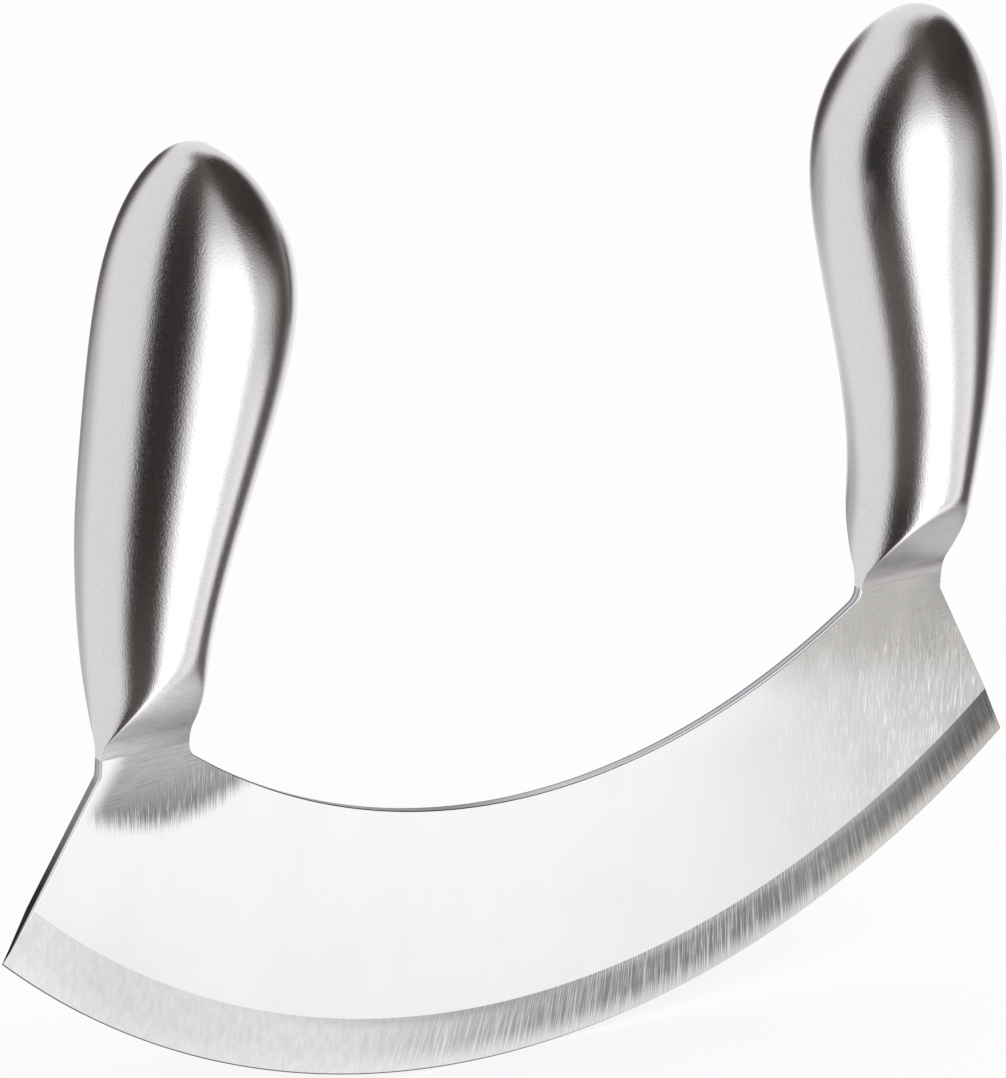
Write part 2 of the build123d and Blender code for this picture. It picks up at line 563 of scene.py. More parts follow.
@dataclass
class Shell:
    """One pressed half of a hollow grip, with its wall, its seam and, at the back, the filling hole.

    Attributes:
        side: Which handle it belongs to.
        face: Front or back half.
        sizes: The handle's shared sizes.
        rows: How many rows of faces run from the collar to the pole.
        rim_rows: How many rows of faces run up to the filling hole's rim.
    """

    side: Side
    face: Face
    sizes: HandleSizes = field(default_factory=HandleSizes)
    rows: int = 150
    rim_rows: int = 8

    def grid(self, form: HandleForm) -> tuple[Array, Array]:
        """Runs from the collar to the pole against turns over this half.

        Args:
            form: The surface that the grid is for.

        Returns:
            The grid's runs and its turns.
        """
        runs = np.linspace(form.run_at(self.sizes.bolster_top), form.pole, self.rows + 1)
        half = COLUMNS_ROUND // 2
        turn = self.face.value * np.linspace(0.0, 2.0 * math.pi, COLUMNS_ROUND + 1)[: half + 1]
        run_grid, turn_grid = np.meshgrid(runs, turn, indexing="ij")
        return run_grid, turn_grid

    def window(self) -> tuple[int, int, int, int]:
        """Finds the grid's cells about the filling hole.

        Returns:
            Their first and last row, and their first and last column.
        """
        form = outer_form(self.side)
        points = form.point(*self.grid(form))
        centre = plug_centre(self.side, self.sizes)
        reach = self.sizes.plug_radius + self.sizes.hole_margin
        near = (np.abs(points[..., 0] - centre[0]) < reach) & (np.abs(points[..., 2] - centre[1]) < reach)
        rows, columns = np.nonzero(near.any(1))[0], np.nonzero(near.any(0))[0]
        return rows[0], rows[-1], columns[0], columns[-1]

    def wall(self, form: HandleForm, outward: int) -> list[Patch]:
        """The half's outer or inner wall, and round the filling hole a patch that closes on its rim.

        The cells about the hole are dropped, and the patch in their place goes in equal steps of run
        and turn from the border of the gap to the hole's circle.

        Args:
            form: The wall's surface.
            outward: 1 for the outer wall, -1 for the inner one.

        Returns:
            The patches.
        """
        run, turn = self.grid(form)
        if self.face is Face.FRONT:
            return [form.patch(run, turn, outward)]
        low, high, first, last = self.window()
        dropped = np.zeros((run.shape[0] - 1, run.shape[1] - 1), bool)
        dropped[low:high, first:last] = True
        down, across = np.arange(low, high), np.arange(first, last)
        row = np.r_[np.full(len(across), low), down, np.full(len(across), high), down[::-1] + 1, low]
        column = np.r_[across, np.full(len(down), last), across[::-1] + 1, np.full(len(down), first), first]
        edge = form.point(run[row, column], turn[row, column])
        centre = plug_centre(self.side, self.sizes)
        way = np.arctan2(edge[:, 2] - centre[1], edge[:, 0] - centre[0])
        rim_run, rim_turn = on_back(form, centre, self.sizes.plug_radius + self.sizes.plug_clearance, way)
        share = np.linspace(0.0, 1.0, self.rim_rows + 1)[:, None]
        around_run = (1.0 - share) * run[row, column] + share * rim_run
        around_turn = (1.0 - share) * turn[row, column] + share * rim_turn
        return [form.patch(run, turn, outward, dropped), form.patch(around_run, around_turn, outward)]

    def patches(self) -> list[Patch]:
        """The two walls, the seam in the blade's plane, the foot on the collar and the hole's wall.

        Returns:
            The patches, which close round the solid.
        """
        outer, inner = outer_form(self.side), HandleForm(self.side, inset=self.sizes.shell_wall)
        outside, inside = self.wall(outer, 1), self.wall(inner, -1)
        skin, lining = outside[0].points, inside[0].points
        patches = outside + inside
        patches.append(Patch(blend(skin[0], lining[0]), -UP))
        for column in (0, -1):
            seam = blend(skin[:, column], lining[:, column])
            patches.append(Patch(seam, np.array([0.0, -self.face.value, 0.0])))
        if self.face is Face.BACK:
            mouth, floor = outside[1].points[-1], inside[1].points[-1]
            centre = plug_centre(self.side, self.sizes)
            inwards = np.stack([centre[0] - mouth[:, 0], np.zeros(len(mouth)), centre[1] - mouth[:, 2]], -1)
            patches.append(Patch(blend(mouth, floor), unit(inwards)))
        return patches

    def build(self, finish: bpy.types.Material) -> None:
        """Makes the piece in its finish and seats it. The other steel doesn't mirror it.

        Args:
            finish: Its material.
        """
        name = f"{self.side.label}_{self.face.label}_shell"
        shell = make_piece(f"{name}_pressed", self.patches(), [finish])
        shell.visible_glossy = False
        seat_piece(shell, name)


def plug_centre(side: Side, sizes: HandleSizes) -> Array:
    """The filling hole's axis, on the handle's own leaning centre line.

    Args:
        side: Which handle it belongs to.
        sizes: The handle's shared sizes.

    Returns:
        Its X and Z.
    """
    form = outer_form(side)
    lean = np.interp(sizes.plug_height, form.curve.values[:, 0], form.curve.values[:, 1])
    return np.array([form.side.value * (form.neck_centre - lean), sizes.plug_height])


def on_back(form: HandleForm, centre: Array, radius: Array | float, way: Array) -> tuple[Array, Array]:
    """Runs and turns of a circle that is drawn on the back of a handle along Y.

    Args:
        form: The surface that it is drawn on.
        centre: X and Z of its centre.
        radius: Its radius.
        way: The direction of each of its points in the XZ plane.

    Returns:
        The places along the side, and the turns about the axis.
    """
    run = form.run_at(centre[1] + radius * np.sin(way))
    _, lean, half_width, _ = np.moveaxis(form.curve(run), -1, 0)
    across = centre[0] + radius * np.cos(way) - form.side.value * (form.neck_centre - lean)
    return run, np.arccos(across / half_width)


@dataclass
class FillPlug:
    """The round pin that closes the filling hole, ground to the handle's own surface.

    Attributes:
        side: Which handle it belongs to.
        sizes: The handle's shared sizes.
        columns: How many columns of faces go round it.
        rows: How many rows of faces go from its middle to its chamfer.
    """

    side: Side
    sizes: HandleSizes = field(default_factory=HandleSizes)
    columns: int = 72
    rows: int = 11

    def patches(self) -> list[Patch]:
        """The face drawn on the handle, a fine chamfer, the round wall and the inner end.

        Returns:
            The patches, which close round the solid.
        """
        form, sizes = outer_form(self.side), self.sizes
        centre = plug_centre(self.side, sizes)
        way = np.linspace(0.0, 2.0 * math.pi, self.columns + 1)
        radii = np.linspace(0.0, sizes.plug_radius - sizes.plug_chamfer, self.rows + 1)
        radius_grid, way_grid = np.meshgrid(radii, way, indexing="ij")
        run, turn = on_back(form, centre, radius_grid, way_grid)
        face = form.patch(run, turn)
        out = np.stack([np.cos(way), np.zeros_like(way), np.sin(way)], -1)
        rim = face.points[-1]
        lip = rim + sizes.plug_chamfer * (out - (0.0, 1.0, 0.0))
        inner_y = form.depth / 2.0 - sizes.plug_length
        foot = np.stack([lip[:, 0], np.full_like(way, inner_y), lip[:, 2]], -1)
        middle = np.broadcast_to([centre[0], inner_y, centre[1]], foot.shape)
        return [
            face,
            Patch(blend(rim, lip), unit(out + (0.0, 1.0, 0.0))),
            Patch(blend(lip, foot), out),
            Patch(blend(foot, middle), np.array([0.0, -1.0, 0.0])),
        ]

    def build(self, finish: bpy.types.Material) -> None:
        """Makes the piece in its finish and seats it in place of its node."""
        name = f"{self.side.label}_fill_plug"
        seat_piece(make_piece(f"{name}_pin", self.patches(), [finish]), name)


# The blade


@dataclass
class Blade:
    """The crescent: two ground faces, two bevels, the cut edges round them and the two hidden tangs.

    Attributes:
        end_run: How far each end line runs in from the tip.
        end_rise: How far it rises.
        corner_radius: The radius of the arc between spine and neck.
        spine_end_height: The height at which the spine's arc would meet the neck's inner side.
        rim_share: The largest share of half the thickness that the outline's rounding takes.
        joint_radius: The radius of that rounding at the joint with the bolsters.
        tang_sink: How far the tangs' feet stand inside the blade.
        spine_columns: Columns of faces over half the spine. The other counts are of faces too.
        spine_share: The share of half the bevel's arc that lies under the spine.
    """

    length: float = 200.0
    thickness: float = 1.7
    edge_radius: float = 164.0
    edge_thickness: float = 0.1
    bevel_width: float = 9.0
    spine_height: float = 41.5
    end_run: float = 16.2
    end_rise: float = 26.2
    neck_height: float = 62.8
    neck_width: float = 16.7
    neck_centre: float = 75.45
    corner_radius: float = 2.5
    spine_end_height: float = 61.2
    rim_radius: float = 0.14
    rim_share: float = 0.6
    joint_radius: float = 0.01
    tang_width: float = 10.0
    tang_length: float = 48.0
    tang_thickness: float = 1.3
    tang_corner_radius: float = 3.0
    tang_sink: float = 0.3
    spine_columns: int = 120
    spine_share: float = 0.70
    corner_columns: int = 12
    neck_rows: int = 30
    face_rows: int = 40
    rim_rows: int = 4
    tang_rows: int = 8

    @property
    def half(self) -> float:
        """Half of the blade's thickness."""
        return self.thickness / 2.0

    def half_thickness(self, radius: Array) -> Array:
        """Half the thickness, which falls evenly over the bevel.

        Args:
            radius: Distances from the edge's centre.

        Returns:
            Half the thickness at each.
        """
        share = np.clip((self.edge_radius - radius) / self.bevel_width, 0.0, 1.0)
        thin = self.edge_thickness / 2.0
        return thin + share * (self.half - thin)

    def end_angle(self, radius: Array) -> Array:
        """The angle, seen from the edge's centre, at which the end line crosses a radius.

        The line starts at the tip and runs up and in. Its point at that radius is found from the
        square equation of a line and a circle.

        Args:
            radius: The radii.

        Returns:
            One angle for each, from straight down.
        """
        tip = self.tip()
        way = np.array([-self.end_run, self.end_rise]) / math.hypot(self.end_run, self.end_rise)
        start = tip - (0.0, self.edge_radius)
        half_sum = start @ way
        along = -half_sum - np.sqrt(half_sum**2 - (start @ start - radius**2))
        crossing = start + along[..., None] * way
        return np.arctan2(crossing[..., 0], -crossing[..., 1])

    def tip(self) -> Array:
        """X and Z of the right tip."""
        reach = self.length / 2.0
        return np.array([reach, self.edge_radius - math.sqrt(self.edge_radius**2 - reach**2)])

    def on_arc(self, radius: Array, angle: Array) -> Array:
        """X and Z on a circle about the edge's centre, with the angle from straight down."""
        return np.stack([radius * np.sin(angle), self.edge_radius - radius * np.cos(angle)], -1)

    def spine_line(self) -> Array:
        """The right half of the spine: the arc from the middle out to the small corner arc's start.

        Returns:
            Its points' X and Z.
        """
        centre, radius, meet, _ = self.spine_arcs()
        angle = np.linspace(0.0, meet, self.spine_columns + 1)
        return np.stack([radius * np.sin(angle), centre - radius * np.cos(angle)], -1)

    def spine_arcs(self) -> tuple[float, float, float, Array]:
        """Works out the spine's arc and the corner arc.

        The spine's arc passes its lowest point and the neck's inner corner, and the corner arc
        touches it and the neck's upright side.

        Returns:
            The spine arc's centre height, its radius, the angle where it ends, and X and Z of the
            corner arc's centre.
        """
        rise = self.spine_end_height - self.spine_height
        radius = (self.neck_inner**2 + rise**2) / (2.0 * rise)
        centre = self.spine_height + radius
        near = radius - self.corner_radius
        corner_x = self.neck_inner - self.corner_radius
        corner_z = centre - math.sqrt(near**2 - corner_x**2)
        return centre, radius, math.asin(corner_x / near), np.array([corner_x, corner_z])

    @property
    def shoulder(self) -> Array:
        """X and Z of the right shoulder, where the end line meets the neck's outer side."""
        return self.tip() + (-self.end_run, self.end_rise)

    @property
    def neck_inner(self) -> float:
        """The reach of the neck's inner side."""
        return float(self.shoulder[0] - self.neck_width)

    def neck_sheet(self) -> Array:
        """The right neck.

        Its left side follows the small corner arc and its land, its right side goes straight up
        from the shoulder, and each row runs straight from the one to the other.

        Returns:
            A grid of X and Z.
        """
        _, _, meet, corner = self.spine_arcs()
        turn = np.linspace(meet - math.pi / 2.0, 0.0, self.corner_columns + 1)
        arc = corner + self.corner_radius * np.stack([np.cos(turn), np.sin(turn)], -1)
        left = np.concatenate([arc, [(self.neck_inner, self.neck_height)]])
        right = np.linspace(self.shoulder, (self.shoulder[0], self.neck_height), len(left))
        return blend(left, right, self.neck_rows + 1).transpose(1, 0, 2)

    def main_sheet(self) -> Array:
        """The crescent up to the necks.

        Over the bevel each row is an arc about the edge's centre, cut off by the two end lines.
        Above it each column is a straight line from the bevel's inner arc to the spine or the neck.

        Returns:
            A grid of X and Z, from the edge upwards and from left to right.
        """
        spine, root = self.spine_line(), self.neck_sheet()[0]
        line = np.concatenate([spine, root[1:]])
        outer = np.linspace(self.spine_share, 1.0, len(root))
        share = np.r_[np.linspace(0.0, self.spine_share, len(spine)), outer[1:]]
        share = np.r_[-share[:0:-1], share]
        top = np.concatenate([line[:0:-1] * (-1.0, 1.0), line])
        radius = np.linspace(self.edge_radius, self.edge_radius - self.bevel_width, BEVEL_ROWS)
        bevel = self.on_arc(radius[:, None], self.end_angle(radius)[:, None] * share)
        return np.concatenate([bevel, blend(bevel[-1], top, self.face_rows + 1)[1:]])

    def outline(self, sheets: Sequence[Array]) -> Array:
        """Follows the blade's border round the sheets.

        Args:
            sheets: The grids of the crescent, the right neck and the left neck.

        Returns:
            Numbers of the border's points in order, without a repeat, in the grids laid end to end.
        """
        sizes = [sheet.shape[0] * sheet.shape[1] for sheet in sheets]
        starts = np.cumsum([0] + sizes[:-1])
        numbers = [start + np.arange(size) for start, size in zip(starts, sizes)]
        main, right, left = (row.reshape(sheet.shape[:2]) for row, sheet in zip(numbers, sheets))
        across = right.shape[1] - 1
        return np.concatenate(
            [
                main[0],
                main[1:, -1],
                right[1:, -1],
                right[-1, -2::-1],
                right[-2::-1, 0],
                main[-1, across + 1 : -across - 1][::-1],
                left[:, 0],
                left[-1, 1:],
                left[-2::-1, -1],
                main[-2:0:-1, 0],
            ]
        )

    def outwards(self, border: Array) -> Array:
        """The way out of the blade at each point of its border.

        It is the sum of the two neighbouring sides' ways out over one plus their product, so that a
        step along it moves both sides by the same distance.

        Args:
            border: The border's points in order.

        Returns:
            One vector for each, in X and Z.
        """
        before = unit(border - np.roll(border, 1, axis=0))
        after = unit(np.roll(border, -1, axis=0) - border)
        out_before, out_after = before[:, ::-1] * (1.0, -1.0), after[:, ::-1] * (1.0, -1.0)
        return (out_before + out_after) / (1.0 + (out_before * out_after).sum(1, keepdims=True))

    def rim(self, border: Array, out: Array, half: Array, radius: Array) -> Patch:
        """The rim: a quarter round, a flat and a quarter round along the outline.

        Its points move out from the face's border by the radius times the sine of the turn.

        Args:
            border: The border of the faces.
            out: The way out at each of its points.
            half: Half the thickness there.
            radius: The rounding's radius there.

        Returns:
            The patch, in the cut edges' finish.
        """
        turn = np.linspace(0.0, math.pi / 2.0, self.rim_rows + 1)[:, None]
        moved = border + (radius * np.sin(turn))[..., None] * out
        depth = half - radius + radius * np.cos(turn)
        profile = np.concatenate([moved, moved[::-1]])
        depths = np.concatenate([-depth, depth[::-1]])
        points = np.stack([profile[..., 0], depths, profile[..., 1]], -1)
        side = unit(out)
        side_3d = np.stack([side[:, 0], np.zeros(len(side)), side[:, 1]], -1)
        lean = np.concatenate([np.sin(turn), np.sin(turn)[::-1]])[..., None]
        across = np.concatenate([-np.cos(turn), np.cos(turn)[::-1]])[..., None]
        normals = lean * side_3d + across * np.array([0.0, 1.0, 0.0])
        closed = [np.concatenate([rows, rows[:, :1]], axis=1) for rows in (points, normals)]
        return Patch(closed[0], closed[1], finish=1)

    def faces(self, flat: Array, half: Array, shapes: Sequence[tuple[int, int]]) -> list[Patch]:
        """The front and the back, each with its bevel.

        Args:
            flat: X and Z of all points of the grids, laid end to end.
            half: Half the thickness at each.
            shapes: The grids' rows and columns.

        Returns:
            The patches.
        """
        slope = (self.half - self.edge_thickness / 2.0) / self.bevel_width
        ends = np.cumsum([rows * columns for rows, columns in shapes])[:-1]
        patches = []
        for face in Face:
            points = np.stack([flat[:, 0], face.value * half, flat[:, 1]], -1)
            grids = [part.reshape(*shape, 3) for part, shape in zip(np.split(points, ends), shapes)]
            bevel, level = grids[0][:BEVEL_ROWS], grids[0][BEVEL_ROWS - 1 :]
            away = unit(bevel * (1.0, 0.0, 1.0) - (0.0, 0.0, self.edge_radius))
            outwards = np.array([0.0, face.value, 0.0])
            patches.append(Patch(bevel, unit(slope * away + outwards)))
            patches += [Patch(grid, outwards) for grid in (level, *grids[1:])]
        return patches

    def patches(self) -> list[Patch]:
        """The rim, the two faces, drawn in by the rim's radius at their border, and the two tangs.

        Returns:
            The patches, which close round the blade and round each tang.
        """
        right = self.neck_sheet()
        sheets = [self.main_sheet(), right, right * (-1.0, 1.0)]
        flat = np.concatenate([sheet.reshape(-1, 2) for sheet in sheets])
        path = self.outline(sheets)
        border = flat[path]
        out = self.outwards(border)
        half = self.half_thickness(np.hypot(flat[:, 0], flat[:, 1] - self.edge_radius))
        joint = border[:, 1] > self.neck_height - WELD_GRID
        radius = np.where(joint, self.joint_radius, np.minimum(self.rim_radius, self.rim_share * half[path]))

        _, same = np.unique(np.round(flat / WELD_GRID).astype(np.int64), axis=0, return_inverse=True)
        same = same.ravel()
        shift = np.zeros((same.max() + 1, 2))
        shift[same[path]] = -radius[:, None] * out
        flat = flat + shift[same]
        rim = self.rim(flat[path], out, half[path], radius)
        faces = self.faces(flat, half, [sheet.shape[:2] for sheet in sheets])
        return [rim, *faces, *self.tang(Side.LEFT), *self.tang(Side.RIGHT)]

    def tang(self, side: Side) -> list[Patch]:
        """One tang: a flat bar with two round upper corners, each face a fan about its middle.

        The outline goes from the foot round the two corner arcs and back, at half the tang's width.

        Args:
            side: Which handle it stands in.

        Returns:
            Its patches.
        """
        reach, corner = self.tang_width / 2.0, self.tang_corner_radius
        foot, top = self.neck_height - self.tang_sink, self.neck_height + self.tang_length
        turn = np.linspace(0.0, math.pi / 2.0, self.tang_rows + 1)
        arc = np.stack([reach - corner + corner * np.cos(turn), top - corner + corner * np.sin(turn)], -1)
        start = (reach, foot)
        line = np.concatenate([[start], arc, arc[::-1] * (-1.0, 1.0), [(-reach, foot), start]])
        line[:, 0] += side.value * self.neck_centre
        middle = np.broadcast_to([side.value * self.neck_centre, (foot + top) / 2.0], line.shape)
        out = line - middle
        out_3d = unit(np.stack([out[:, 0], np.zeros(len(line)), out[:, 1]], -1))
        patches = []
        edges = []
        for face in Face:
            y = np.full(len(line), face.value * self.tang_thickness / 2.0)
            loop = np.stack([line[:, 0], y, line[:, 1]], -1)
            centre = np.stack([middle[:, 0], y, middle[:, 1]], -1)
            patches.append(Patch(blend(loop, centre), np.array([0.0, face.value, 0.0])))
            edges.append(loop)
        return patches + [Patch(blend(edges[0], edges[1]), out_3d)]

    def build(self, finish: bpy.types.Material, cut_finish: bpy.types.Material) -> None:
        """Makes the piece in its two finishes and seats it in place of its node."""
        seat_piece(make_piece("blade_crescent", self.patches(), [finish, cut_finish]), "blade")


# Shader graphs


class Value:
    """A number that a shader works out, with Python's operators standing for Math nodes."""

    def __init__(self, graph: "Graph", socket: bpy.types.NodeSocket) -> None:
        """Wraps an output socket of a graph."""
        self.graph = graph
        self.socket = socket

    def math(self, operation: str, *operands: "Value | float", clamp: bool = False) -> "Value":
        """A Math node of an operation over the given operands, held between 0 and 1 if asked."""
        settings = {"operation": operation, "use_clamp": clamp}
        return self.graph.value("ShaderNodeMath", settings, dict(enumerate(operands)))

    def __add__(self, other: "Value | float") -> "Value":
        """This value plus another."""
        return self.math("ADD", self, other)

    __radd__ = __add__

    def __sub__(self, other: "Value | float") -> "Value":
        """This value less another."""
        return self.math("SUBTRACT", self, other)

    def __rsub__(self, other: float) -> "Value":
        """A number less this value."""
        return self.math("SUBTRACT", other, self)

    def __mul__(self, other: "Value | float") -> "Value":
        """This value times another."""
        return self.math("MULTIPLY", self, other)

    __rmul__ = __mul__

    def __truediv__(self, other: "Value | float") -> "Value":
        """This value over another."""
        return self.math("DIVIDE", self, other)

    def abs(self) -> "Value":
        """This value without its sign."""
        return self.math("ABSOLUTE", self)

    def clamp(self) -> "Value":
        """This value held between 0 and 1."""
        return self.math("ADD", self, 0.0, clamp=True)

    def step(self, low: float, high: float) -> "Value":
        """A smooth step from 0 at low to 1 at high."""
        ends = {"Value": self, "From Min": low, "From Max": high, "To Min": 0.0, "To Max": 1.0}
        return self.graph.value("ShaderNodeMapRange", {"interpolation_type": "SMOOTHSTEP"}, ends)

    def between(self, low: float, high: float, softness: float) -> "Value":
        """One between two bounds, with steps that are as wide as the softness, and zero outside."""
        half = softness / 2.0
        return self.step(low - half, low + half) * (1.0 - self.step(high - half, high + half))

    def toward(self, other: "Value | float", share: "Value") -> "Value":
        """This value moved towards another by a share."""
        return self + (other - self) * share

    def on_right(self) -> "Value":
        """For a place along X: one on the knife's right half, and zero on its left."""
        return self.step(-MIDDLE_BLEND, MIDDLE_BLEND)


class Graph:
    """The nodes of one material or world."""

    def __init__(self, tree: bpy.types.NodeTree) -> None:
        """Empties a node tree and builds in it."""
        tree.nodes.clear()
        self.tree = tree

    def node(
        self, kind: str, settings: Mapping[str, Any] | None = None, sockets: Mapping[Any, Any] | None = None
    ) -> bpy.types.Node:
        """Adds any node.

        Args:
            kind: The node's type.
            settings: Its own settings, which are made first.
            sockets: For an input's name or number, a value, a socket or a number from this graph.

        Returns:
            The node.
        """
        made = self.tree.nodes.new(kind)
        for name, value in (settings or {}).items():
            setattr(made, name, value)
        for name, value in (sockets or {}).items():
            source = value.socket if isinstance(value, Value) else value
            if isinstance(source, bpy.types.NodeSocket):
                self.tree.links.new(source, made.inputs[name])
            else:
                made.inputs[name].default_value = source
        return made

    def value(
        self,
        kind: str,
        settings: Mapping[str, Any] | None = None,
        sockets: Mapping[Any, Any] | None = None,
        output: int | str = 0,
    ) -> Value:
        """Adds a node and wraps one of its outputs."""
        return Value(self, self.node(kind, settings, sockets).outputs[output])

    def coordinates(self) -> tuple[Value, Value, Value]:
        """The object's own X, Y and Z.

        Returns:
            The three numbers, in millimetres.
        """
        place = self.node("ShaderNodeTexCoord").outputs["Object"]
        parts = self.node("ShaderNodeSeparateXYZ", sockets={0: self.tinted(place, 1.0 / MILLIMETRE)}).outputs
        return Value(self, parts[0]), Value(self, parts[1]), Value(self, parts[2])

    def combine(self, x: Value | float, y: Value | float, z: Value | float) -> Value:
        """A vector from three numbers."""
        return self.value("ShaderNodeCombineXYZ", sockets={0: x, 1: y, 2: z})

    def noise(self, place: Value, detail: float, roughness: float) -> Value:
        """Smooth noise about 0.5, with a grain one unit wide in the coordinates given."""
        sockets = {"Vector": place, "Scale": 1.0, "Detail": detail, "Roughness": roughness}
        return self.value("ShaderNodeTexNoise", {"noise_dimensions": "3D"}, sockets)

    def mixed(self, share: Value, first: Any, second: Any) -> bpy.types.NodeSocket:
        """A colour between two others."""
        return self.node("ShaderNodeMix", {"data_type": "RGBA"}, {0: share, 6: first, 7: second}).outputs[2]

    def tinted(self, tint: Any, tone: Value | float) -> bpy.types.NodeSocket:
        """A colour or vector scaled by a number."""
        return self.node("ShaderNodeVectorMath", {"operation": "SCALE"}, {0: tint, "Scale": tone}).outputs[0]

    def bump(self, height: Value, strength: float = 1.0, distance: float = 1.0) -> bpy.types.NodeSocket:
        """A normal tilted by a height in millimetres."""
        sockets = {"Strength": strength, "Distance": distance * MILLIMETRE, "Height": height}
        return self.node("ShaderNodeBump", sockets=sockets).outputs[0]

    def surface(self, colour: Any, roughness: Value, normal: Any, metallic: float = 1.0) -> None:
        """Ends a material in a Principled shader."""
        sockets = {"Base Color": colour, "Metallic": metallic, "Roughness": roughness, "Normal": normal}
        self.end("ShaderNodeOutputMaterial", self.node("ShaderNodeBsdfPrincipled", sockets=sockets))

    def end(self, kind: str, shader: bpy.types.Node) -> None:
        """Joins a shader to an output node."""
        self.node(kind, sockets={"Surface": shader.outputs[0]})


def new_material(name: str) -> tuple[bpy.types.Material, Graph]:
    """Makes a material.

    Args:
        name: Its name.

    Returns:
        The material, and its empty graph.
    """
    material = bpy.data.materials.new(name)
    material.use_nodes = True
    return material, Graph(material.node_tree)


@dataclass(frozen=True)
class Grain:
    """A noise pattern stretched along its three axes.

    Attributes:
        fineness: How many grains fit in one unit along each axis.
        detail: How many finer layers it has.
        roughness: How strong the finer layers are.
    """

    fineness: tuple[float, float, float]
    detail: float = 2.0
    roughness: float = 0.5

    def noise(self, graph: Graph, *place: Value | float) -> Value:
        """The pattern at a place, about 0.5."""
        scaled = [part * fine for part, fine in zip(place, self.fineness)]
        return graph.noise(graph.combine(*scaled), self.detail, self.roughness)

    def swing(self, graph: Graph, *place: Value | float) -> Value:
        """The pattern at a place, about zero."""
        return self.noise(graph, *place) - 0.5


@dataclass(frozen=True)
class Ramp:
    """A smooth change along a coordinate.

    Attributes:
        low: Where it begins.
        high: Where it ends.
        change: The whole change.
    """

    low: float
    high: float
    change: float = 1.0

    def up(self, place: Value) -> Value:
        """Nothing below the ramp, and the whole change above it."""
        return place.step(self.low, self.high) * self.change

    def down(self, place: Value) -> Value:
        """The whole change below the ramp, and nothing above it."""
        return (1.0 - place.step(self.low, self.high)) * self.change


@dataclass(frozen=True)
class Pair:
    """A level that differs between the knife's left and right halves."""

    left: float
    right: float

    def on(self, right: Value) -> Value:
        """The level at a share of the right half."""
        return self.left - right * (self.left - self.right)


# Finishes

# A tint is a base colour, and a tone is the number that scales it. A contrast is how far a pattern
# changes the tone, a spread how far it changes the roughness, and a height how high it stands. A
# gain or a shade is how much brighter or darker a place is. A span holds the places or values
# between which something sets in, and three numbers are two bounds and their softness. Reaches are
# measured from the knife's middle, and a lean, climb or slope is a shift for each millimetre.
# Where a gain or a shade below stands for light falling on the steel or turning away from it, it is painted
# light, painted shade or a painted highlight, and its docstring or a comment says so.


@dataclass(frozen=True)
class SatinSteel:
    """The grips' finish: pressed stainless steel, blasted and buffed to an even satin.

    The speckle is fine and even, and the drift is a slow change of tone over the grip.
    """

    tint: Colour = (0.678, 0.664, 0.682)
    roughness: float = 0.175
    grain_size: float = 0.30
    grain_detail: float = 3.0
    grain_roughness: float = 0.6
    grain_contrast: float = 0.30
    grain_height: float = 0.026
    grain_spread: float = 0.24
    drift: Grain = Grain((0.06, 0.06, 0.03))
    drift_contrast: float = 0.05

    def speckle(self, graph: Graph, *place: Value) -> Value:
        """Even speckle about zero, one unit high, and the same in every direction."""
        fineness = (1.0 / self.grain_size,) * 3
        return Grain(fineness, self.grain_detail, self.grain_roughness).swing(graph, *place)

    def material(self) -> bpy.types.Material:
        """The finish with its speckle in tone, roughness and height, and a slow drift of tone.

        Returns:
            The material.
        """
        material, graph = new_material("satin_steel")
        place = graph.coordinates()
        speckle = self.speckle(graph, *place)
        drift = self.drift.swing(graph, *place)
        tone = 1.0 + speckle * self.grain_contrast + drift * self.drift_contrast
        rough = self.roughness + speckle * self.grain_spread
        graph.surface(graph.tinted(self.tint, tone), rough, graph.bump(speckle, distance=self.grain_height))
        return material


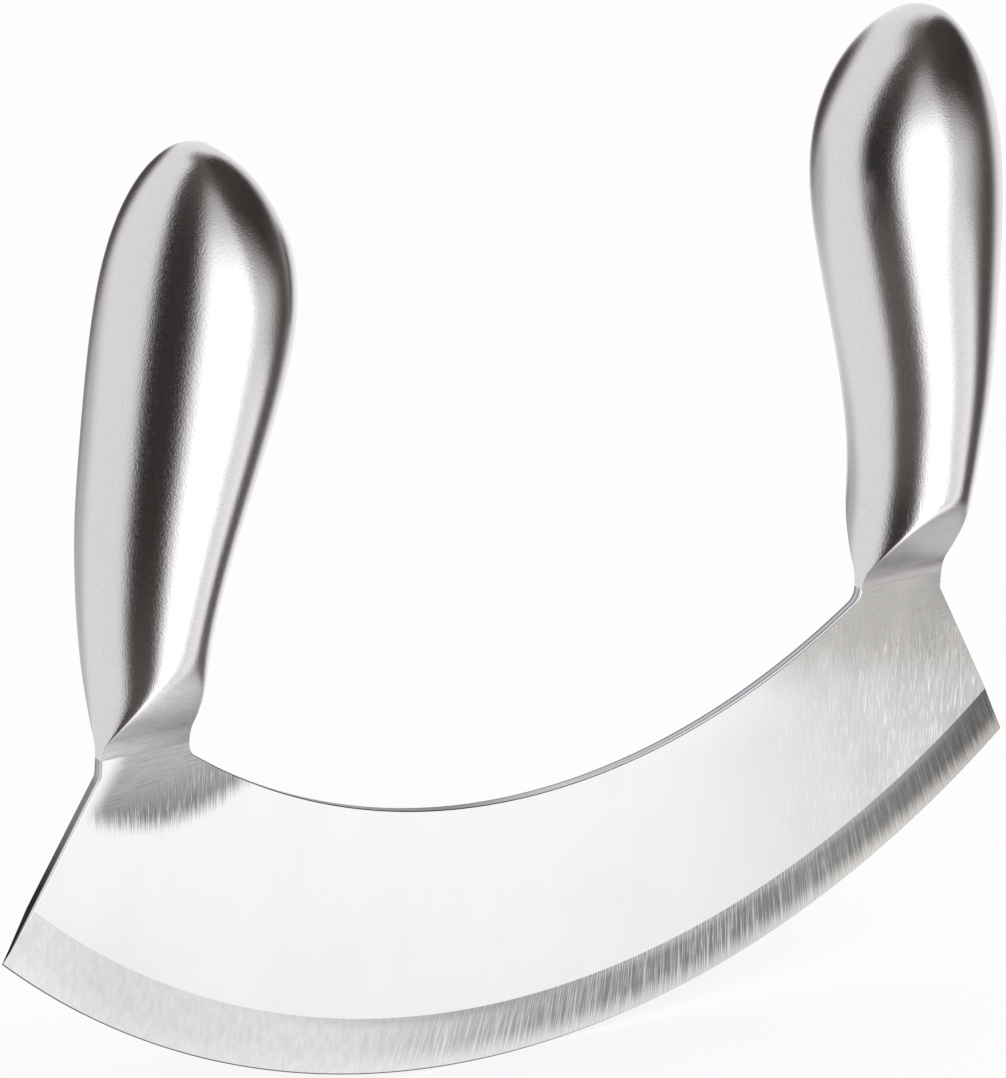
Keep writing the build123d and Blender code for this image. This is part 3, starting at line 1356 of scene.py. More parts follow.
@dataclass(frozen=True)
class NeckSteel:
    """The bolsters' finish: satin like the grips, with coves ground by hand along the blade.

    The slips are upright scratches where the grinder slipped over the right cove's crest. The painted
    band is painted shade: the right cove's dark band above its foot, which falls towards +X. The left
    cove's upper part has a painted highlight.
    """

    satin: SatinSteel = field(default_factory=SatinSteel)
    satin_spread: float = 0.10
    cove_tint: Colour = (0.597, 0.588, 0.577)
    cove_roughness: float = 0.36
    cove_spread: float = 0.12
    scratch_width: float = 0.22
    scratch_length: float = 5.0
    scratch_detail: float = 3.0
    scratch_roughness: float = 0.65
    scratch_height: float = 0.012
    scratch_contrast: Pair = Pair(0.80, 0.50)
    climb_right: float = 0.075
    climb_out: float = 0.125
    clouds: Grain = Grain((0.22, 0.3, 0.3))
    cloud_contrast: float = 0.24
    slips: Grain = Grain((3.4, 3.4, 0.10), 1.0)
    slip_cut: Span = (0.56, 0.68)
    slip_place: float = 71.0
    slip_fade: Span = (0.4, 1.8)
    slip_front: Span = (-2.0, 0.0)
    slip_top: Span = (75.0, 80.0)
    slip_gain: float = 1.5
    foot_height: float = 62.8
    neck_centre: float = 75.45
    foot_fade: Span = (0.0, 3.6)
    foot_painted_shade: Pair = Pair(0.21, -0.02)
    painted_band_tilt: float = 0.15
    painted_band_start: Span = (1.2, 3.2)
    painted_band_end: Span = (4.0, 6.4)
    painted_band_shade: float = 0.16
    outward_painted_light: float = 0.028
    crest_painted_highlight: float = 2.4
    painted_gleam: Ramp = Ramp(5.5, 9.0, 0.30)
    painted_gleam_reach: Span = (66.0, 75.0)

    def scratches(self, graph: Graph, x: Value, y: Value, z: Value) -> Value:
        """The grinding lines: noise drawn out along X that climbs towards the ends.

        Args:
            graph: The material's graph.
            x: Place along X.
            y: Place along Y.
            z: Place along Z.

        Returns:
            Their strength, about zero.
        """
        rising = z - x * self.climb_right + x.abs() * self.climb_out
        place = graph.combine(x / self.scratch_length, y / self.scratch_width, rising / self.scratch_width)
        return graph.noise(place, self.scratch_detail, self.scratch_roughness) - 0.5

    def satin_tone(self, graph: Graph, speckle: Value, x: Value, y: Value, z: Value) -> Value:
        """The tone outside the coves: the satin's, with the slipped scratches.

        Args:
            graph: The material's graph.
            speckle: The satin's speckle.
            x: Place along X.
            y: Place along Y.
            z: Place along Z.

        Returns:
            The tone, where 1 is the plain tint.
        """
        slips = self.slips.noise(graph, x, y, z).step(*self.slip_cut)
        slips = slips * (1.0 - (x - self.slip_place).abs().step(*self.slip_fade))
        slips = slips * (1.0 - y.step(*self.slip_front)) * (1.0 - z.step(*self.slip_top))
        return 1.0 + speckle * self.satin.grain_contrast + slips * self.slip_gain

    def cove_tone(self, graph: Graph, ground: Value, x: Value, y: Value, z: Value) -> Value:
        """The coves' tone: shaded at the foot, and brighter towards the crest.

        The shade at the foot is painted shade. The left cove has a painted highlight in its upper part and
        painted light that grows outwards, and the right one has a band of painted shade above its foot and
        a painted highlight along its crest.

        Args:
            graph: The material's graph.
            ground: How far the surface is ground, 0 to 1.
            x: Place along X.
            y: Place along Y.
            z: Place along Z.

        Returns:
            The tone, where 1 is the plain tint.
        """
        right = x.on_right()
        left = 1.0 - right
        rise = z - self.foot_height
        # Painted light and shade: painted shade at the foot, a band of painted shade above the right cove's
        # foot, painted light that grows outwards on the left cove, a painted highlight along the right crest
        # and another on the left cove's upper part.
        foot = (1.0 - rise.step(*self.foot_fade)) * self.foot_painted_shade.on(right)
        level = rise - (self.neck_centre - x) * self.painted_band_tilt
        groove = level.step(*self.painted_band_start) * (1.0 - level.step(*self.painted_band_end)) * self.painted_band_shade
        outwards = (x.abs() - self.neck_centre) * self.outward_painted_light * left
        crest = ground * (1.0 - ground) * right * self.crest_painted_highlight
        painted_gleam = self.painted_gleam.up(rise) * x.abs().step(*self.painted_gleam_reach) * left
        lines = self.scratches(graph, x, y, z) * self.scratch_contrast.on(right)
        clouds = self.clouds.swing(graph, x, y, z) * self.cloud_contrast
        return (1.0 - foot - groove * right + outwards + crest + painted_gleam) * (1.0 + lines + clouds)

    def material(self) -> bpy.types.Material:
        """The finish, which turns from speckle to lines along X where the piece is ground.

        Returns:
            The material.
        """
        material, graph = new_material("neck_steel")
        place = graph.coordinates()
        ground = graph.value("ShaderNodeAttribute", {"attribute_name": "ground"}, output="Fac")
        speckle, lines = self.satin.speckle(graph, *place), self.scratches(graph, *place)
        satin = graph.tinted(self.satin.tint, self.satin_tone(graph, speckle, *place))
        cove = graph.tinted(self.cove_tint, self.cove_tone(graph, ground, *place))
        rough = self.satin.roughness + speckle * self.satin_spread
        height = speckle * self.satin.grain_height * (1.0 - ground) + lines * self.scratch_height * ground
        rough = rough.toward(self.cove_roughness + lines * self.cove_spread, ground)
        graph.surface(graph.mixed(ground, satin, cove), rough, graph.bump(height))
        return material


@dataclass(frozen=True)
class NeckWear:
    """How far the hand grinding of the necks reaches into the blade's face.

    On the left its lower border is a shallow bowl, broken into upright streaks, that keeps clear
    of the blade's end. On the right it is a low ridge, and the grinding fades out softly.
    """

    streak_lean: float = 0.087
    streaks: Grain = Grain((5.0, 0.0, 0.10), 2.0, 0.65)
    bowl_reach: float = 71.0
    bowl_height: float = 50.4
    bowl_curve: float = 0.016
    bowl_streaks: float = 6.0
    bowl_fade: Span = (-1.4, 2.6)
    ridge_reach: float = 60.0
    ridge_height: float = 51.5
    ridge_fall: float = 0.18
    ridge_streaks: float = 3.0
    ridge_fade: Span = (-4.0, 6.0)
    tip_reach: float = 100.0
    tip_height: float = 34.0
    end_slope: float = 0.618
    end_clear: Span = (0.0, 4.5)
    inner_fade: Span = (40.0, 49.0)
    inner_shift: float = 6.0

    def share(self, graph: Graph, x: Value, z: Value) -> Value:
        """The grinding's share at a place.

        Args:
            graph: The material's graph.
            x: Place along X.
            z: Place along Z.

        Returns:
            The share, 0 to 1.
        """
        reach, on_right = x.abs(), x.on_right()
        offset = reach - self.bowl_reach
        streaks = self.streaks.swing(graph, x + z * self.streak_lean, 0.0, z)
        bowl = self.bowl_height + offset * offset * self.bowl_curve + streaks * self.bowl_streaks
        ridge = self.ridge_height - (reach - self.ridge_reach).abs() * self.ridge_fall
        from_end = self.tip_reach - (z - self.tip_height) * self.end_slope - reach
        left = (z - bowl).step(*self.bowl_fade) * from_end.step(*self.end_clear)
        right = (z - (ridge + streaks * self.ridge_streaks)).step(*self.ridge_fade)
        return left.toward(right, on_right) * (reach - on_right * self.inner_shift).step(*self.inner_fade)


@dataclass(frozen=True)
class BevelGrind:
    """The bevel's tone: even and mottled on the left, darker inside and streaked to the right.

    Ramps run along X, in millimetres. The feather, the lip and the painted edge line run over the
    bevel's share from its inner line to the edge.

    The inner tone passes over to the outer one in the feather, which the lines fray. Both tones are
    painted light: they grow darker or brighter along X and brighter near the left tip, the inner one
    darker than the outer. The lip is a painted highlight and, left of the middle, painted shade beside
    the inner line, the painted edge line is painted shade along the edge, and the scores are the
    deeper of the grinding lines.
    """

    to_right: Span = (-50.0, 72.0)
    tip_painted_light: Ramp = Ramp(-96.0, -78.0, 0.07)
    inner_level: float = 0.70
    inner_painted_shade: Ramp = Ramp(-44.0, 24.0, 0.36)
    painted_end_shade: Ramp = Ramp(64.0, 98.0, 0.09)
    outer_level: float = 0.76
    outer_painted_shade: float = 0.16
    outer_painted_light: Ramp = Ramp(35.0, 88.0, 0.30)
    feather: Span = (0.52, 1.0)
    feather_lines: float = 0.20
    lip: Span = (0.03, 0.24)
    lip_painted_highlight: Ramp = Ramp(0.0, 35.0, 0.17)
    lip_end: Span = (84.0, 96.0)
    lip_dark: tuple[float, float, float] = (-42.0, 0.0, 24.0)
    lip_painted_shade: float = 0.10
    mottle: Grain = Grain((0.9, 0.0, 0.5), 3.0, 0.65)
    mottle_contrast: float = 0.26
    painted_edge_line: Span = (0.972, 0.988)
    painted_edge_line_end: Span = (-5.0, 35.0)
    painted_edge_line_shade: float = 0.85
    scores: Span = (-45.0, 40.0)
    scores_end: Ramp = Ramp(40.0, 80.0, 0.60)
    scores_feather: float = 0.8
    score_cut: Span = (-0.05, 0.14)
    score_middle: float = 0.42
    score_contrast: float = 0.95
    line_contrast: float = 0.20
    line_gain: float = 0.20

    def tone(self, graph: Graph, x: Value, inwards: Value, share: Value, lines: Value) -> Value:
        """The tone at a place on the bevel.

        Args:
            graph: The material's graph.
            x: Place along X.
            inwards: The distance in from the edge.
            share: The share of the bevel from its inner line to the edge.
            lines: The grinding lines, about zero.

        Returns:
            The tone, where 1 is the plain tint.
        """
        right = x.step(*self.to_right)
        # Painted light: the inner and outer tones, the tip's brightening and the lip's highlight and shade.
        tip = self.tip_painted_light.down(x)
        inner = self.inner_level + tip - self.inner_painted_shade.up(x) - self.painted_end_shade.up(x)
        outer = self.outer_level + tip - right * self.outer_painted_shade + self.outer_painted_light.up(x)
        feather = (share + lines * self.feather_lines * right).step(*self.feather)
        bright = self.lip_painted_highlight.up(x) * (1.0 - x.step(*self.lip_end))
        lip = (1.0 - share.step(*self.lip)) * (bright - x.between(*self.lip_dark) * self.lip_painted_shade)
        mottle = self.mottle.swing(graph, x, 0.0, inwards) * self.mottle_contrast * (1.0 - right)
        tone = inner + lip + (outer - inner) * feather + mottle
        # Painted shade in a thin line along the edge, on the left.
        painted_edge_line = share.step(*self.painted_edge_line) * (1.0 - x.step(*self.painted_edge_line_end)) * self.painted_edge_line_shade
        depth = x.step(*self.scores) * (1.0 - self.scores_end.up(x)) * (1.0 - feather * self.scores_feather)
        scored = (lines.step(*self.score_cut) - self.score_middle) * depth * self.score_contrast
        contrast = self.line_contrast + right * self.line_gain
        return tone * (1.0 + lines * contrast + scored) * (1.0 - painted_edge_line)


@dataclass(frozen=True)
class FaceGrind:
    """The face's tone: nearly even, with a grey veil and bright hairlines on the right.

    Ramps run along X or Z, in millimetres. Much of the tone is painted light: painted shade that
    deepens to the right, towards the bottom and low at the left end, the veil, which is painted shade
    over the rubbed right end with cloudy rub marks in it, and a painted highlight high on the right.

    Each set of hairlines has its lean, its fineness across and along, and the level above which
    it shows.
    """

    hairlines: tuple[tuple[float, float, float, float], ...] = (
        (0.06, 6.0, 0.26, 0.60),
        (-0.05, 8.0, 0.18, 0.61),
        (0.17, 7.0, 0.36, 0.63),
    )
    hairline_edge: float = 0.09
    hairline_gain: float = 0.01
    hairline_scuffed: float = 0.34
    hairline_fade: Ramp = Ramp(51.0, 58.0, 0.85)
    clouds: Grain = Grain((0.10, 0.0, 0.07), 3.0)
    cloud_contrast: float = 0.06
    veil: float = 0.22
    veil_clouds: float = 0.40
    painted_shade_to_right: Ramp = Ramp(-10.0, 55.0, 0.07)
    painted_end_shade: Ramp = Ramp(-94.0, -62.0, 0.10)
    end_shade_top: Span = (22.0, 44.0)
    level: float = 0.925
    fall: Ramp = Ramp(-70.0, 50.0, 0.055)
    level_height: float = 46.0
    height_gain: float = 0.0020
    brush_contrast: float = 0.03
    brush_scuffed: float = 0.30
    brush_fade: Ramp = Ramp(50.0, 57.0, 0.7)
    painted_gleam: Ramp = Ramp(40.0, 49.0, 0.055)
    painted_gleam_place: tuple[float, float, float] = (22.0, 54.0, 18.0)

    def scratches(self, graph: Graph, x: Value, z: Value) -> Value:
        """The hairlines: the peaks of a few drawn-out noises, added up.

        Args:
            graph: The material's graph.
            x: Place along X.
            z: Place along Z.

        Returns:
            Zero between them, and about one on each.
        """
        sets = []
        for lean, across, along, level in self.hairlines:
            lines = Grain((across, 1.0, along), 1.0).noise(graph, x + z * lean, lean, z)
            sets.append(lines.step(level, level + self.hairline_edge))
        return sum(sets[1:], sets[0])

    def tone(self, graph: Graph, x: Value, z: Value, rubbed: Value, brushed: Value) -> Value:
        """The tone at a place on the face.

        Args:
            graph: The material's graph.
            x: Place along X.
            z: Place along Z.
            rubbed: How far the right end is rubbed there, 0 to 1.
            brushed: The brushing, about zero.

        Returns:
            The tone, where 1 is the plain tint.
        """
        clouds = self.clouds.swing(graph, x, 0.0, z)
        scuffed = rubbed * rubbed
        # The veil is painted shade over the rubbed right end, with cloudy rub marks in it.
        veil = rubbed * (self.veil + clouds * self.veil_clouds) + self.painted_shade_to_right.up(x)
        painted_end_shade = self.painted_end_shade.down(x) * (1.0 - z.step(*self.end_shade_top))
        brushing = brushed * (self.brush_contrast + scuffed * self.brush_scuffed)
        brushing = brushing * (1.0 - self.brush_fade.up(z))
        # Painted shade: darker to the right, towards the bottom, low at the left end and under the veil.
        tone = self.level - self.fall.up(x) - (self.level_height - z) * self.height_gain - painted_end_shade - veil
        tone = tone + brushing + clouds * self.cloud_contrast
        # A painted highlight high on the right.
        tone = tone + self.painted_gleam.up(z) * x.between(*self.painted_gleam_place)
        hairlines = self.scratches(graph, x, z) * (self.hairline_gain + scuffed * self.hairline_scuffed)
        return tone + hairlines * (1.0 - self.hairline_fade.up(z))


@dataclass(frozen=True)
class BladeSteel:
    """The blade's finish: a fine even grind on the faces, slanted lines on the bevels, rubbed necks.

    The necks are ground upright in their lower part and along X in their upper part, and darkened
    with painted shade, with painted highlights on the lower streaks on the left. The right end is
    rubbed, and a veil of painted shade lies over it. The worn tint, of both, is a little warmer than
    the clean face's.
    """

    tint: Colour = (0.930, 0.930, 0.926)
    worn_tint: Colour = (0.940, 0.921, 0.889)
    roughness: float = 0.15
    edge_radius: float = 164.0
    bevel_width: float = 9.0
    bevel_blend: float = 0.06
    bevel_roughness: float = 0.04
    lines: Grain = Grain((4.4, 0.0, 0.12), 2.0, 0.60)
    line_slant: float = 0.09
    line_spread: float = 0.10
    line_height: float = 0.008
    brushing: Grain = Grain((2.6, 0.0, 0.20), 3.0, 0.65)
    brush_lean: float = 0.06
    brush_spread: float = 0.05
    brush_height: float = 0.002
    rubbed: Span = (30.0, 96.0)
    rubbed_level: float = 30.0
    rubbed_slope: float = 0.35
    rubbed_warmth: float = 0.5
    bevel_warmth: Span = (20.0, 80.0)
    neck: NeckWear = NeckWear()
    neck_spread: float = 0.08
    upright: Grain = Grain((4.4, 1.0, 0.2), 3.0, 0.7)
    upright_contrast: float = 0.9
    level: Grain = Grain((0.22, 0.0, 4.0), 3.0, 0.6)
    level_climb: float = 0.08
    level_contrast: float = 0.42
    level_height: float = 0.006
    upper: Span = (53.0, 58.0)
    upper_reach: float = 76.0
    upper_slope: float = 0.25
    shade: float = 0.50
    low_painted_shade: Ramp = Ramp(50.0, 62.0, 0.23)
    right_painted_shade: float = 0.085
    painted_glints: Span = (0.06, 0.20)
    painted_glint_gain: float = 0.40
    bevel: BevelGrind = BevelGrind()
    face: FaceGrind = FaceGrind()

    def neck_grind_and_painted_shade(self, graph: Graph, level_lines: Value, x: Value, z: Value) -> Value:
        """How much darker the ground necks are than the clean face.

        Args:
            graph: The material's graph.
            level_lines: The grinding lines along X, about zero.
            x: Place along X.
            z: Place along Z.

        Returns:
            The share of the tone that is lost.
        """
        # Painted shade where the ground necks turn away from the light, deeper low down and weaker on the
        # right, less the grinding's streaks, with painted highlights on the lower streaks on the left.
        right = x.on_right()
        upright = self.upright.swing(graph, x + z * self.neck.streak_lean, 1.0, z)
        upper = (z - (self.upper_reach - x.abs()) * self.upper_slope).step(*self.upper)
        lower = 1.0 - upper
        shade = (self.shade + self.low_painted_shade.down(z)).toward(self.right_painted_shade, right)
        painted_glints = upright.step(*self.painted_glints) * lower * (1.0 - right) * self.painted_glint_gain
        streaks = upright * lower * self.upright_contrast + level_lines * upper * self.level_contrast
        return shade - streaks - painted_glints

    def material(self) -> bpy.types.Material:
        """The finish, with its parts told apart by place on the blade.

        Returns:
            The material.
        """
        material, graph = new_material("blade_steel")
        x, _, z = graph.coordinates()
        drop = self.edge_radius - z
        square = x * x + drop * drop
        inwards = self.edge_radius - square.math("SQRT", square)
        arc = x.math("ARCTAN2", x, drop) * self.edge_radius
        on_bevel = inwards.step(self.bevel_width + self.bevel_blend, self.bevel_width - self.bevel_blend)
        on_face = 1.0 - on_bevel
        share = (self.bevel_width - inwards) / self.bevel_width

        lines = self.lines.swing(graph, arc - inwards * self.line_slant, 0.0, inwards)
        brushed = self.brushing.swing(graph, x + z * self.brush_lean, 0.0, z)
        level_lines = self.level.swing(graph, x, 0.0, z - x * self.level_climb)
        rubbed = (x + (z - self.rubbed_level) * self.rubbed_slope).step(*self.rubbed)
        worn = self.neck.share(graph, x, z)
        face = self.face.tone(graph, x, z, rubbed, brushed)
        face = face * (1.0 - worn * self.neck_grind_and_painted_shade(graph, level_lines, x, z))
        tone = face.toward(self.bevel.tone(graph, x, inwards, share, lines), on_bevel)

        warm = (worn + rubbed * self.rubbed_warmth).clamp() * on_face + x.step(*self.bevel_warmth) * on_bevel
        colour = graph.mixed(warm, graph.tinted(self.tint, tone), graph.tinted(self.worn_tint, tone))
        height = (brushed * self.brush_height + level_lines * worn * self.level_height) * on_face
        rough = self.roughness + lines * on_bevel * self.line_spread + brushed * self.brush_spread
        rough = rough + worn * self.neck_spread + on_bevel * self.bevel_roughness
        graph.surface(colour, rough, graph.bump(height + lines * self.line_height * on_bevel))
        return material


@dataclass(frozen=True)
class CutEdgeSteel:
    """The finish of the blade's cut edges: darker than its faces, and nearly black towards the tips.

    A dark line runs along the back of the spine. The front of its right half has a painted highlight
    on its corner, with a painted shadow line beside it. The darkness down the ends and on the left of
    the spine is painted shade, and the ends' front corners have a painted highlight.
    """

    tint: Colour = (0.52, 0.53, 0.55)
    roughness: float = 0.34
    lines: Grain = Grain((0.5, 6.0, 0.5), 3.0, 0.6)
    line_contrast: float = 0.3
    line_spread: float = 0.15
    line_height: float = 0.01
    end_reach: Span = (83.2, 84.6)
    painted_end_shade: float = 0.56
    low_painted_shade: Ramp = Ramp(43.0, 58.0, 0.40)
    front_corner: Span = (-0.60, -0.15)
    end_corner_painted_highlight: float = 0.6
    left_spine: tuple[Span, Span] = ((-71.0, -60.0), (-20.0, 10.0))
    left_painted_shade: float = 0.88
    dark_back_line: Span = (0.30, 0.55)
    dark_back_shade: float = 0.60
    right_spine: Span = (5.0, 45.0)
    painted_corner_highlight: Ramp = Ramp(-0.56, -0.42, 0.70)
    shadow_line: tuple[float, float, float] = (-0.38, -0.12, 0.14)
    shadow_shade: float = 0.55

    def tone(self, x: Value, y: Value, z: Value, lines: Value) -> Value:
        """The tone: dark on the left of the spine and down the ends, with fine lines along it.

        Args:
            x: Place along X.
            y: Place along Y.
            z: Place along Z.
            lines: The cutting's lines, about zero.

        Returns:
            The tone, where 1 is the plain tint.
        """
        # Painted shade down the ends, deeper low down, and on the left of the spine; painted highlights on
        # the ends' front corners and on the front corner of the spine's right half, with a painted shadow
        # line beside it.
        at_end = x.abs().step(*self.end_reach)
        on_spine = 1.0 - at_end
        corner = 1.0 - y.step(*self.front_corner)
        tip_painted_shade = at_end * (self.painted_end_shade + self.low_painted_shade.down(z)) * (1.0 - corner)
        left = (1.0 - x.step(*self.left_spine[1])) * x.step(*self.left_spine[0]) * self.left_painted_shade
        back_darkening = y.step(*self.dark_back_line) * on_spine * self.dark_back_shade
        right = x.step(*self.right_spine) * on_spine
        tone = (1.0 + lines * self.line_contrast) * (1.0 - tip_painted_shade)
        tone = tone * (1.0 + at_end * corner * self.end_corner_painted_highlight) * (1.0 - left) * (1.0 - back_darkening)
        tone = tone * (1.0 + self.painted_corner_highlight.down(y) * right)
        return tone * (1.0 - y.between(*self.shadow_line) * right * self.shadow_shade)

    def material(self) -> bpy.types.Material:
        """The finish with its cutting lines in tone, roughness and height.

        Returns:
            The material.
        """
        material, graph = new_material("cut_edge_steel")
        place = graph.coordinates()
        lines = self.lines.swing(graph, *place)
        colour = graph.tinted(self.tint, self.tone(*place, lines))
        rough = self.roughness + lines * self.line_spread
        graph.surface(colour, rough, graph.bump(lines, distance=self.line_height))
        return material


@dataclass(frozen=True)
class FillerCement:
    """The finish of the cast filler inside the grips: pale grey cement with sand in it.

    The sand and the pores stand out in its relief.
    """

    tint: Colour = (0.42, 0.40, 0.37)
    level: float = 0.8
    sand_size: float = 0.8
    sand_detail: float = 4.0
    sand_roughness: float = 0.6
    sand_contrast: float = 0.4
    pores: Grain = Grain((0.4, 0.4, 0.4), 3.0)
    pore_cut: Span = (0.62, 0.70)
    pore_shade: float = 0.3
    roughness: float = 0.85
    sand_spread: float = 0.1
    relief: float = 0.6
    relief_height: float = 0.3

    def material(self) -> bpy.types.Material:
        """The finish, with sand grains and small pores.

        Returns:
            The material.
        """
        material, graph = new_material("filler_cement")
        place = graph.coordinates()
        fineness = (1.0 / self.sand_size,) * 3
        sand = Grain(fineness, self.sand_detail, self.sand_roughness).noise(graph, *place)
        pores = self.pores.noise(graph, *place).step(*self.pore_cut)
        tone = self.level + sand * self.sand_contrast - pores * self.pore_shade
        rough = self.roughness + sand * self.sand_spread
        normal = graph.bump(sand - pores, self.relief, self.relief_height)
        graph.surface(graph.tinted(self.tint, tone), rough, normal, metallic=0.0)
        return material


# The studio


@dataclass(frozen=True)
class StudioCamera:
    """The camera at the photograph's viewing angle.

    Attributes:
        turn: Degrees that it stands to the left of the knife's front.
        tilt: Degrees that it stands above the knife.
        roll: Degrees that it is turned about its own axis.
        distance: From its aim to the camera, in millimetres.
        aim: The point at the picture's middle, in millimetres.
        lens: Focal length for the sensor's width, in millimetres.
        sensor: The sensor's longer side, in millimetres.
        clip: The nearest and the furthest distance that it sees, in metres.
    """

    turn: float = 42.5
    tilt: float = 18.57
    roll: float = 3.93
    distance: float = 2098.4
    aim: tuple[float, float, float] = (-2.36, 5.0, 81.22)
    lens: float = 469.04
    sensor: float = 36.0
    clip: Span = (0.05, 50.0)

    def azimuth(self) -> float:
        """The camera's turn about +Z from the front, in radians."""
        return -math.radians(self.turn)

    def build(self) -> None:
        """Makes the camera and gives it to the scene."""
        data = bpy.data.cameras.new("studio_camera")
        data.lens, data.sensor_width = self.lens, self.sensor
        data.clip_start, data.clip_end = self.clip
        turn, tilt, roll = self.azimuth(), math.radians(self.tilt), math.radians(self.roll)
        back = Vector((math.sin(turn) * math.cos(tilt), -math.cos(turn) * math.cos(tilt), math.sin(tilt)))
        level = Vector((math.cos(turn), math.sin(turn), 0.0))
        upright = back.cross(level)
        right = level * math.cos(roll) + upright * math.sin(roll)
        up = back.cross(right)
        camera = bpy.data.objects.new("studio_camera", data)
        place = (Vector(self.aim) + back * self.distance) * MILLIMETRE
        camera.matrix_world = Matrix.Translation(place) @ Matrix((right, up, back)).transposed().to_4x4()
        bpy.context.scene.collection.objects.link(camera)
        bpy.context.scene.camera = camera


@dataclass(frozen=True)
class Spot:
    """A soft elliptical spot on the tent, whose share falls off with the ellipse's equation.

    Attributes:
        bearing: The bearing of its middle, in degrees.
        rise: The rise of its middle, in degrees.
        half_length: Degrees from its middle to its end.
        half_width: Degrees from its middle to its side.
        light: The light in its middle.
        climb: The cosine and the sine of the angle at which its length climbs.
        fade: Where it begins to fade and where it ends, by the ellipse's equation.
    """

    bearing: float
    rise: float
    half_length: float
    half_width: float
    light: float
    climb: Span = (1.0, 0.0)
    fade: Span = (0.1, 1.0)

    def paint(self, light: Value, bearing: Value, rise: Value) -> Value:
        """Lays the spot over the light.

        Args:
            light: The light without the spot.
            bearing: The bearing of each place.
            rise: The rise of each place.

        Returns:
            The light with it.
        """
        cosine, sine = self.climb
        beside, over = bearing - self.bearing, rise - self.rise
        along = (beside * cosine + over * sine) / self.half_length
        across = (over * cosine - beside * sine) / self.half_width
        return light.toward(self.light, 1.0 - (along * along + across * across).step(*self.fade))


